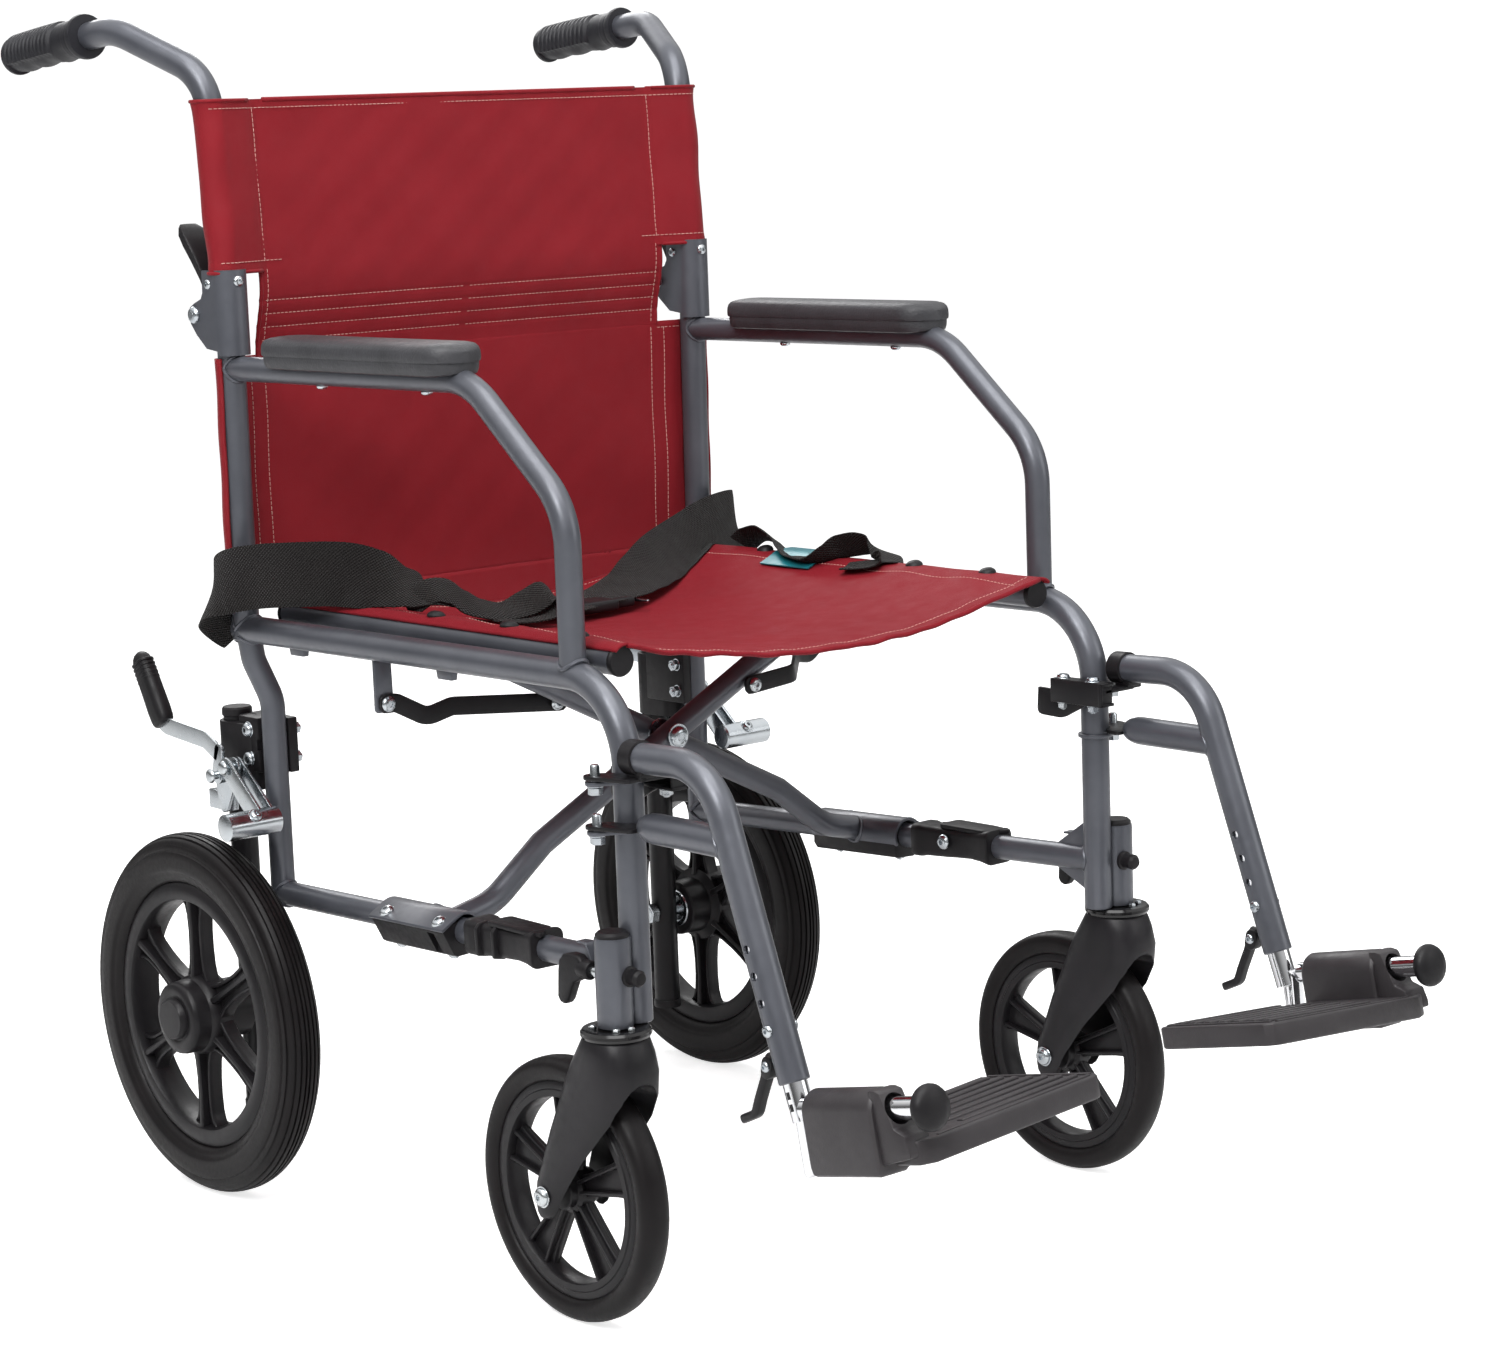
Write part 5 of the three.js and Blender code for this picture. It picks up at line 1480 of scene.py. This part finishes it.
def seat_point(u, v):
    """Sling hung between the seat rails and wrapped over each."""
    y = SEAT_Y0 + (SEAT_Y1 - SEAT_Y0) * v
    a = (u - 0.5) * 2
    if abs(a) <= SEAT_FLAT:
        x = a / SEAT_FLAT * SEAT_HALF
        z = sling_z(x)
        z += -2.2 * (1 - (x / SEAT_HALF) ** 2) * math.sin(math.pi * v) * 1.2
        # ripples near the front edge, slow unevenness, and puckers towards the rails
        front = math.exp(-((y - SEAT_Y0) / 70) ** 2)
        ripple = 1.5 * math.sin(x / 21.0 + 0.5 * math.sin(x / 47)) * (abs(x) / SEAT_HALF) * 0.8
        z += front * (ripple + 0.9 * wander(x / 34, y / 30, 1.7))
        z += 0.8 * wander(x / 60, y / 55, 4.0)
        z += max(0, (abs(x) - 140) / 65) * 1.1 * math.sin(y / 15.0 + 1.2 * math.sin(y / 61))
    else:
        turn = math.pi / 2 + 0.28 - (abs(a) - SEAT_FLAT) / (1 - SEAT_FLAT) * 1.12
        radius = 12.6 + 0.25 * math.sin(y / 12.0)
        x = math.copysign(SEAT_RAIL_X + radius * math.cos(turn), a)
        z = SEAT_RAIL_Z + radius * math.sin(turn)
    return (x, y, z)


def seat():
    cloth = put("seat_cloth", None, "cloth_seat", shell(grid(96, 84, seat_point), 2.0),
                smooth=180)
    edge = [vec(seat_point(i / 96, 0.0)) + vec(0, 0.6, -0.4 + 0.35 * math.sin(i * 0.9))
            for i in range(6, 91)]
    hem = put("seat_hem", None, "cloth_seat", sweep(edge, ring(2.3, 10, 2.0), BACK), smooth=180)
    part = Shape()
    lift = (0, 0, 1.05)
    for v in (0.028, 0.972):
        part += stitches(trace(lambda u: seat_point(u, v), 0.06, 0.88, 120, lift), UP)
    for u in (0.095, 0.905):
        part += stitches(trace(lambda v: seat_point(u, v), 0.02, 0.96, 120, lift), UP)
    thread = put("seat_stitching", None, "thread", part)
    part = Shape()
    for sx in (-1, 1):
        for y in (-62, 24, 118, 212, 300):
            part += lathe([(7.4, -0.9), (7.6, 0.3), (6.8, 2.1), (4.8, 3.7), (2.2, 4.4), (0, 4.5)],
                          (sx * 210.6, y, 503.2), (-sx * 0.2, 0, 0.98), 22)
    screws = put("seat_screws", None, "black_plastic", part)
    blend_across(cloth, hem, thread, screws)
    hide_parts("seat_sling")


seat()

# ---------------------------------------------------------------- back
# A lower panel goes behind the posts, an upper one is sleeved round the canes, and a
# middle part joins them.
R_LOW = 12.9  # wrap round the posts
FLAP = 210.0  # half width of the middle part
SEAM_X = 206.0  # sewn line where the cane sleeve begins


def smooth_step(t):
    t = max(0.0, min(1.0, t))
    return t * t * (3 - 2 * t)


def cane_centre(z):
    return 243.4 + (z - 737) * 1.6 / 188, 337.4 + (z - 737) * (349 - 337.4) / (925 - 737)


def low_base(z):
    return 341 + (z - 474) * (338 - 341) / (712 - 474)


def low_y(x, z):
    y = low_base(z) + R_LOW - 1.0 + 7.0 * (1 - (abs(x) / 228) ** 2.2)
    y += 1.5 * wander(x / 70, z / 45, 0.4) * (1 - min(1, abs(x) / 225) ** 2)
    y += 0.9 * math.sin(z / 17 + x / 90) * max(0, (abs(x) - 120) / 105)
    return y


def up_y(x, z):
    a = min(1.0, abs(x) / SEAM_X)
    y = cane_centre(z)[1] + 3.4 * (1 - a ** 2) + 1.5 * wander(x / 62, z / 36, 2.2) * (1 - a ** 6)
    y += 0.9 * math.sin(z / 10.0 + x / 45.0) * max(0, a - 0.6) * smooth_step((z - 770) / 20)
    return y


def sheet_y(x, z):
    t = smooth_step((z - 692) / 78.0)
    return low_y(x, z) * (1 - t) + up_y(x, z) * t


def low_point(u, v):
    x = (u - 0.5) * 2 * 251
    z = 497 + 203 * v
    if abs(x) <= 225:
        t = max(0, (abs(x) - FLAP) / 15)
        return (x, sheet_y(x, z) * (1 - t) + low_y(x, z) * t, z)
    turn = math.pi / 2 + 0.9 - (abs(x) - 225) / 26 * 2.75
    radius = R_LOW + 0.35 * math.sin(z / 11.0)
    return (math.copysign(CANE_X + radius * math.cos(turn), x),
            low_base(z) + radius * math.sin(turn), z)


def tail_point(u, v):
    x = (u - 0.5) * 396
    return (x, low_y(x, 499) - 1.2 * (1 - v), 466 + 33 * v)


def sleeve(z):
    """Outline round the left cane at height z, seen from above, front to back."""
    cx, cy = cane_centre(z)
    mouth = math.exp(-((z - 769) / 5.0) ** 2) + math.exp(-((z - 905) / 5.0) ** 2)
    radius = 13.9 + 0.35 * math.sin(z / 9.0) + 0.7 * mouth
    out = []
    for i in range(19):
        a = math.radians(-118 + 236 * i / 18)
        w = 0.55 * math.sin(z / 13.0 + a * 2.0)
        out.append((cx + (radius + w) * math.cos(a), cy + (radius + w) * math.sin(a)))
    return out


# places in a panel row: the front layer's 73 points, then 27 round the left sleeve
SLEEVE_START, SLEEVE_END = 73, 100


def panel_row(z):
    """Closed outline of the upper panel at height z, from the right end of its front layer."""
    cy = cane_centre(z)[1]
    wrap = sleeve(z)
    xs = [SEAM_X * (1 - 2 * i / 72) for i in range(73)]

    def part_layers(end, layer, fractions):
        # the layers part between the sewn line and the tube
        y = cy + layer
        return [(SEAM_X + (end[0] - SEAM_X) * q, y + (end[1] - y) * q ** 0.75)
                for q in fractions]

    fractions = (0.15, 0.35, 0.6, 0.85)
    left = (part_layers(wrap[0], -1.1, fractions) + wrap
            + part_layers(wrap[-1], 1.1, fractions[::-1]))
    row = [(x, up_y(x, z) - 1.1) for x in reversed(xs)] + left
    row += [(x, up_y(x, z) + 1.1) for x in xs] + [(-x, y) for x, y in reversed(left)]
    return [(x, y, z) for x, y in row]


def middle_point(u, v, sx):
    x = u * (FLAP + 1.0)
    z = 698 + 74 * v
    pucker = sum(math.exp(-((z - q) / 1.6) ** 2) for q in SEAM_ROWS)
    edge = max(0.0, (x - 196) / 15)
    return (sx * x, sheet_y(sx * x, z) + 0.7 * pucker - 0.5 * edge * math.sin(z / 9.0), z)


SEAM_ROWS = (711, 722, 733, 744)  # heights of the stitch rows across the middle


def back_lower():
    cloth = put("back_cloth_lower", "frame_right", "cloth_back",
                shell(grid(118, 46, low_point), 2.0), replaces="back_lower", smooth=180)
    tail = put("back_cloth_tail", "frame_right", "cloth_back",
               shell(grid(70, 8, tail_point), 2.0), smooth=180)
    return cloth, tail


def back_upper():
    rows = [panel_row(768 + (906 - 768) * i / 46) for i in range(47)]
    cloth = put("back_cloth_upper", "cane_right", "cloth_back", fix(skin(rows)),
                replaces="back_upper", smooth=180)
    # rolled hems: along the top and round the sleeve mouths
    part = sweep([vec(p) + vec(0, 0.4, -0.6) for p in rows[-1][2:71]], ring(2.0, 10, 1.6), UP)
    for sx in (1, -1):
        for z in (768.6, 905.4):
            mouth = [(sx * x, y, z) for x, y, _ in panel_row(z)[SLEEVE_START:SLEEVE_END]]
            part += sweep(mouth, ring(1.5, 8, 1.3), UP)
    hem = put("back_hem_upper", "cane_right", "cloth_back", part, smooth=180)
    return cloth, hem


def back_middle(sx, letter):
    part = shell(grid(52, 46, lambda u, v: middle_point(u, v, sx)), 2.2)
    edge = trace(lambda v: middle_point(1.0, v, sx), 0, 1, 24, (-sx * 0.6, 0, 0))
    part += sweep(edge, ring(1.7, 8, 1.7), FRONT)
    cloth = put("back_cloth_middle_" + letter, None, "cloth_back", part, smooth=50)
    part = Shape()
    off = (0, -1.15, 0)
    for z in SEAM_ROWS:
        v = (z - 698) / 74
        part += stitches(trace(lambda u: middle_point(u, v, sx), 0.012, 0.97, 90, off), FRONT)
    u = 204.5 / (FLAP + 1)
    part += stitches(trace(lambda v: middle_point(u, v, sx), 0.02, 0.96, 40, off), FRONT)
    return cloth, put("back_stitching_middle_" + letter, None, "thread", part)


def back_stitching():
    part = Shape()
    for z, first in ((899.0, 36), (776.5, 69)):
        row = panel_row(z)[first:SLEEVE_START + 11]
        for sx in (1, -1):
            part += stitches([(sx * x, y - 0.25, pz) for x, y, pz in row], FRONT)
    for sx in (-1, 1):
        part += stitches(trace(lambda z: (sx * SEAM_X, up_y(SEAM_X, z) - 1.35, z),
                               775, 126, 90), FRONT)
    upper = put("back_stitching_upper", "cane_right", "thread", part)
    part = Shape()
    off = (0, -1.2, 0)
    for sx in (-1, 1):
        for x in (204.5, 218.5):
            u = 0.5 + sx * x / 502
            part += stitches(trace(lambda v: low_point(u, v), 0.01, 0.98, 90, off), FRONT)
        part += stitches(trace(lambda x: low_point(0.5 + sx * x / 502, 0.972),
                               211, 16, 20, off), FRONT)
    return upper, put("back_stitching_lower", "frame_right", "thread", part)


low_cloth, low_tail = back_lower()
up_cloth, up_hem = back_upper()
middles = [(word, back_middle(sx, letter)) for sx, letter, word in reversed(SIDES)]
up_thread, low_thread = back_stitching()
for obj in (low_cloth, low_tail, low_thread, up_cloth, up_hem, up_thread):
    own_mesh(obj)
for word, objects in middles:
    for obj in objects:
        (345 - Y_SHIFT) / 1000
        (345 - Y_SHIFT) / 1000
        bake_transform(obj)

# ---------------------------------------------------------------- lap belt
# Belt stations: (x, y, z, direction across the strap in x, y, z, width)
# from behind each post, round its outside, then across the seat to the buckle
BELT_RIGHT = [
    (-242, 362, 468, 0.95, -0.1, 0.25, 22), (-259, 354, 486, 0.8, -0.1, 0.6, 36),
    (-276, 338, 507, 0.42, -0.05, 0.9, 48), (-277, 318, 521, 0.22, 0.0, 1, 52),
    (-264, 292, 527, 0.05, 0.1, 1, 52), (-246, 262, 529, 0.05, 0.15, 1, 52),
    (-222, 232, 529, 0.05, 0.3, 1, 52), (-203, 211, 524, 0.1, 0.5, 0.85, 52),
    (-180, 196, 516, 0.15, 0.85, 0.6, 50), (-157, 186, 508, 0.2, 1, 0.3, 48),
    (-104, 180, 492, 0.25, 1, 0.1, 46), (-44, 178, 486, 0.1, 1, 0.05, 46),
    (-22, 178, 485, 0.1, 1, 0.0, 46)]
BELT_LEFT = [
    (246, 364, 474, -0.9, -0.1, 0.4, 22), (266, 352, 492, -0.6, -0.1, 0.75, 36),
    (277, 334, 508, -0.3, 0, 0.95, 48), (266, 316, 519, -0.1, 0.05, 1, 52),
    (240, 303, 520, -0.05, 0.2, 1, 52), (212, 292, 517, 0, 0.35, 1, 52),
    (183, 278, 512, 0, 0.5, 0.9, 52), (150, 261, 508, -0.05, 0.6, 0.8, 51),
    (123, 246, 505, -0.1, 0.7, 0.7, 50), (88, 226, 498, -0.15, 0.85, 0.5, 48),
    (56, 208, 492, -0.2, 1, 0.3, 46), (20, 194, 488, -0.2, 1, 0.15, 44),
    (-6, 186, 487, -0.2, 1, 0.05, 42)]
# loose tails
TAIL_RIGHT = [
    (-183, 192, 497, 0.2, 0.9, 0.4, 30), (-182, 186, 507, 0.2, 0.8, 0.55, 30),
    (-170, 179, 514, 0.25, 0.8, 0.5, 30), (-158, 173, 512, 0.3, 0.75, 0.6, 30),
    (-147, 167, 503, 0.35, 0.75, 0.6, 30), (-132, 161, 496, 0.3, 0.85, 0.45, 30),
    (-114, 156, 493, 0.25, 0.9, 0.35, 30), (-95, 152, 498, 0.1, 0.85, 0.5, 30),
    (-80, 149, 504, 0.1, 0.85, 0.5, 30), (-73, 146, 498, 0.1, 0.9, 0.4, 30),
    (-83, 143, 490, 0.2, 0.9, 0.2, 30), (-104, 142, 487, 0.25, 0.95, 0.1, 30),
    (-134, 149, 489, 0.25, 0.95, 0.1, 30)]
TAIL_LEFT = [
    (222, 256, 505, -0.8, 0.2, 0.4, 28), (225, 245, 513, -0.8, 0.3, 0.4, 28),
    (222, 222, 515, -0.7, 0.3, 0.6, 28), (216, 198, 508, -0.7, 0.2, 0.65, 28),
    (206, 176, 502, -0.8, 0.1, 0.5, 28), (196, 152, 501, -0.9, 0.1, 0.3, 28),
    (190, 127, 501, -0.9, 0, 0.3, 28), (196, 114, 507, -0.8, 0, 0.5, 28),
    (206, 107, 514, -0.75, 0, 0.6, 28), (216, 95, 516, -0.75, 0.2, 0.6, 28),
    (222, 82, 513, -0.7, 0.5, 0.5, 28), (218, 65, 507, -0.6, 0.75, 0.3, 28),
    (206, 55, 502, -0.9, 0.3, 0.2, 28), (196, 62, 500, -0.9, -0.2, 0.1, 28),
    (186, 82, 499, -0.9, -0.3, 0.1, 28)]


def ribbon(stations, count):
    """Webbing 2 thick on a smooth curve through the stations, kept above the seat."""
    points = [vec(s[:3]) for s in stations]
    across = [vec(s[3:6]).normalized() for s in stations]
    last = len(points) - 1
    curve = []
    for i in range(count + 1):
        place = i / count * last
        j = min(last - 1, int(place))
        f = place - j
        p0, p1, p2, p3 = points[max(j - 1, 0)], points[j], points[j + 1], points[min(j + 2, last)]
        p = 0.5 * ((2 * p1) + (p2 - p0) * f + (2 * p0 - 5 * p1 + 4 * p2 - p3) * f * f
                   + (3 * p1 - p0 - 3 * p2 + p3) * f ** 3)
        u = across[j].lerp(across[j + 1], f * f * (3 - 2 * f)).normalized()
        curve.append((p, u, stations[j][6] * (1 - f) + stations[j + 1][6] * f))
    steps = 8
    section = [(-0.5 + j / steps, 0.5 if j in (0, steps) else 1.0) for j in range(steps + 1)]
    section += [(x, -y) for x, y in reversed(section)]
    rows, uv, length = [], [], 0.0
    for i, (p, u, width) in enumerate(curve):
        tangent = (curve[min(i + 1, count)][0] - curve[max(i - 1, 0)][0]).normalized()
        u = (u - tangent * u.dot(tangent)).normalized()
        normal = tangent.cross(u)
        if i:
            length += (p - curve[i - 1][0]).length
        row = [p + u * (x * width) + normal * (y + 0.8 * math.cos(math.pi * x) * 0.6)
               for x, y in section]
        for j in range(steps + 1):
            a, b = row[j], row[2 * steps + 1 - j]
            if abs(a.x) < 214 and -115 < a.y < 320:
                lift = seat_top(a.x) + 0.9 - min(a.z, b.z)
                if lift > 0:
                    a.z += lift
                    b.z += lift
        rows.append(row)
        uv += [(length / 1000, x * width / 1000) for x, _ in section]
    return fix(skin(rows, caps=True, uv=uv))


def belt():
    right = put("belt_strap_r", None, "webbing", ribbon(BELT_RIGHT, 170) + ribbon(TAIL_RIGHT, 130),
                replaces="belt_r", smooth=60)
    left = put("belt_strap_l", None, "webbing", ribbon(BELT_LEFT, 170) + ribbon(TAIL_LEFT, 150),
               replaces="belt_l", smooth=60)
    # buckle in two blocks, the bar beside it, and a small tab on the seat's left
    part = bevel(box((-16, 181, seat_top(0) + 7.5), (50, 34, 9.5)), 3.0, 3)
    part += bevel(box((20, 187, seat_top(0) + 7.0), (24, 30, 8)), 2.6, 3)
    buckle = put("belt_buckle", None, "black_plastic", part)
    bar = put("belt_buckle_bar", None, "zinc",
              box((36, 176, seat_top(36) + 6.6), (3.0, 30, 2.6), 0.8))

    def tab_point(u, v):
        x = 228 - 50 * u
        return (x, 196 - 62 * v - 14 * u, seat_top(x) + 2.0 + 0.5 * math.sin(u * 5))

    tab = put("belt_tab", None, "teal", shell(grid(12, 10, tab_point), 1.0), smooth=60)
    blend_across(right, left, buckle, bar, tab)


belt()


# ---------------------------------------------------------------- stage (metres)
def floor():
    half = 14.0
    mesh = bpy.data.meshes.new("floor")
    mesh.from_pydata([(x, y, 0) for x, y in rect(-half, -half, half, half)], [], [(0, 1, 2, 3)])
    obj = bpy.data.objects.new("floor", mesh)
    bpy.context.scene.collection.objects.link(obj)
    mat, nt, bsdf = new_mat("floor_white")
    set_inputs(bsdf, {"Base Color": (0.93, 0.93, 0.93, 1), "Roughness": 0.6,
                      "Specular IOR Level": 0.1, "Emission Color": (1, 1, 1, 1)})
    # glows more to the camera than it lights the chair
    ray = nt.nodes.new("ShaderNodeLightPath")
    glow = nt.nodes.new("ShaderNodeMapRange")
    set_inputs(glow, {"To Min": 0.10, "To Max": 0.70})
    nt.links.new(ray.outputs["Is Camera Ray"], glow.inputs["Value"])
    nt.links.new(glow.outputs["Result"], bsdf.inputs["Emission Strength"])
    mesh.materials.append(mat)


def studio_world():
    """White: bright to the camera, dim as light, and graded by height in reflections."""
    world = bpy.data.worlds.new("studio")
    bpy.context.scene.world = world
    world.use_nodes = True
    nodes, links = world.node_tree.nodes, world.node_tree.links
    background = nodes["Background"]
    set_inputs(background, {"Color": (1, 1, 1, 1), "Strength": 0.75})
    ray = nodes.new("ShaderNodeLightPath")
    level = nodes.new("ShaderNodeMapRange")
    set_inputs(level, {"To Min": 0.32, "To Max": 1.05})
    links.new(ray.outputs["Is Camera Ray"], level.inputs["Value"])
    coord = nodes.new("ShaderNodeTexCoord")
    split = nodes.new("ShaderNodeSeparateXYZ")
    links.new(coord.outputs["Generated"], split.inputs[0])
    grade = nodes.new("ShaderNodeMapRange")
    grade.interpolation_type = "SMOOTHSTEP"
    set_inputs(grade, {"From Min": 0.05, "From Max": 0.75, "To Min": 0.13, "To Max": 1.35})
    links.new(split.outputs["Z"], grade.inputs["Value"])
    mix = nodes.new("ShaderNodeMix")
    links.new(ray.outputs["Is Glossy Ray"], mix.inputs[0])
    links.new(level.outputs["Result"], mix.inputs[2])
    links.new(grade.outputs["Result"], mix.inputs[3])
    links.new(mix.outputs[0], background.inputs[1])


def area(name, place, target, size, power):
    light = bpy.data.lights.new(name, "AREA")
    light.shape = "RECTANGLE"
    light.size, light.size_y = size
    light.energy = power
    light.color = (1, 1, 1)
    obj = bpy.data.objects.new(name, light)
    bpy.context.scene.collection.objects.link(obj)
    obj.location = place
    obj.rotation_euler = (Vector(target) - Vector(place)).to_track_quat("-Z", "Y").to_euler()


def camera():
    """Stands ahead of the chair to its right; roll turns it about its own view line."""
    azimuth, elevation, roll = (math.radians(a) for a in (-39.57, 9.13, -2.23))
    data = bpy.data.cameras.new("camera")
    obj = bpy.data.objects.new("camera", data)
    bpy.context.scene.collection.objects.link(obj)
    backward = Vector((math.sin(azimuth) * math.cos(elevation),
                       -math.cos(azimuth) * math.cos(elevation), math.sin(elevation)))
    forward = -backward
    level_right = forward.cross(Vector(UP)).normalized()
    level_up = level_right.cross(forward)
    right = level_right * math.cos(roll) + level_up * math.sin(roll)
    up = level_up * math.cos(roll) - level_right * math.sin(roll)
    matrix = Matrix((right, up, backward)).transposed().to_4x4()
    matrix.translation = Vector((-1784.57, -2088.04 - Y_SHIFT, 873.85)) / 1000
    obj.matrix_world = matrix
    data.sensor_width = 36.0
    data.lens = 84.36312
    data.shift_x = 0.042093333
    data.shift_y = 0.0048266667
    data.clip_end = 60
    bpy.context.scene.camera = obj


floor()
studio_world()
area("key", place=(-2.4, -1.4, 2.7), target=(0, 0, 0.5), size=(1.5, 1.5), power=76)
area("fill", place=(1.8, -2.6, 1.5), target=(0, 0, 0.5), size=(1.6, 1.6), power=16)
area("top", place=(-0.5, -0.7, 3.0), target=(0, 0, 0.4), size=(2.2, 2.2), power=70)
area("rim", place=(1.0, 2.4, 2.2), target=(0, 0, 0.6), size=(1.6, 1.2), power=30)
camera()
bpy.context.scene.view_settings.view_transform = "Standard"
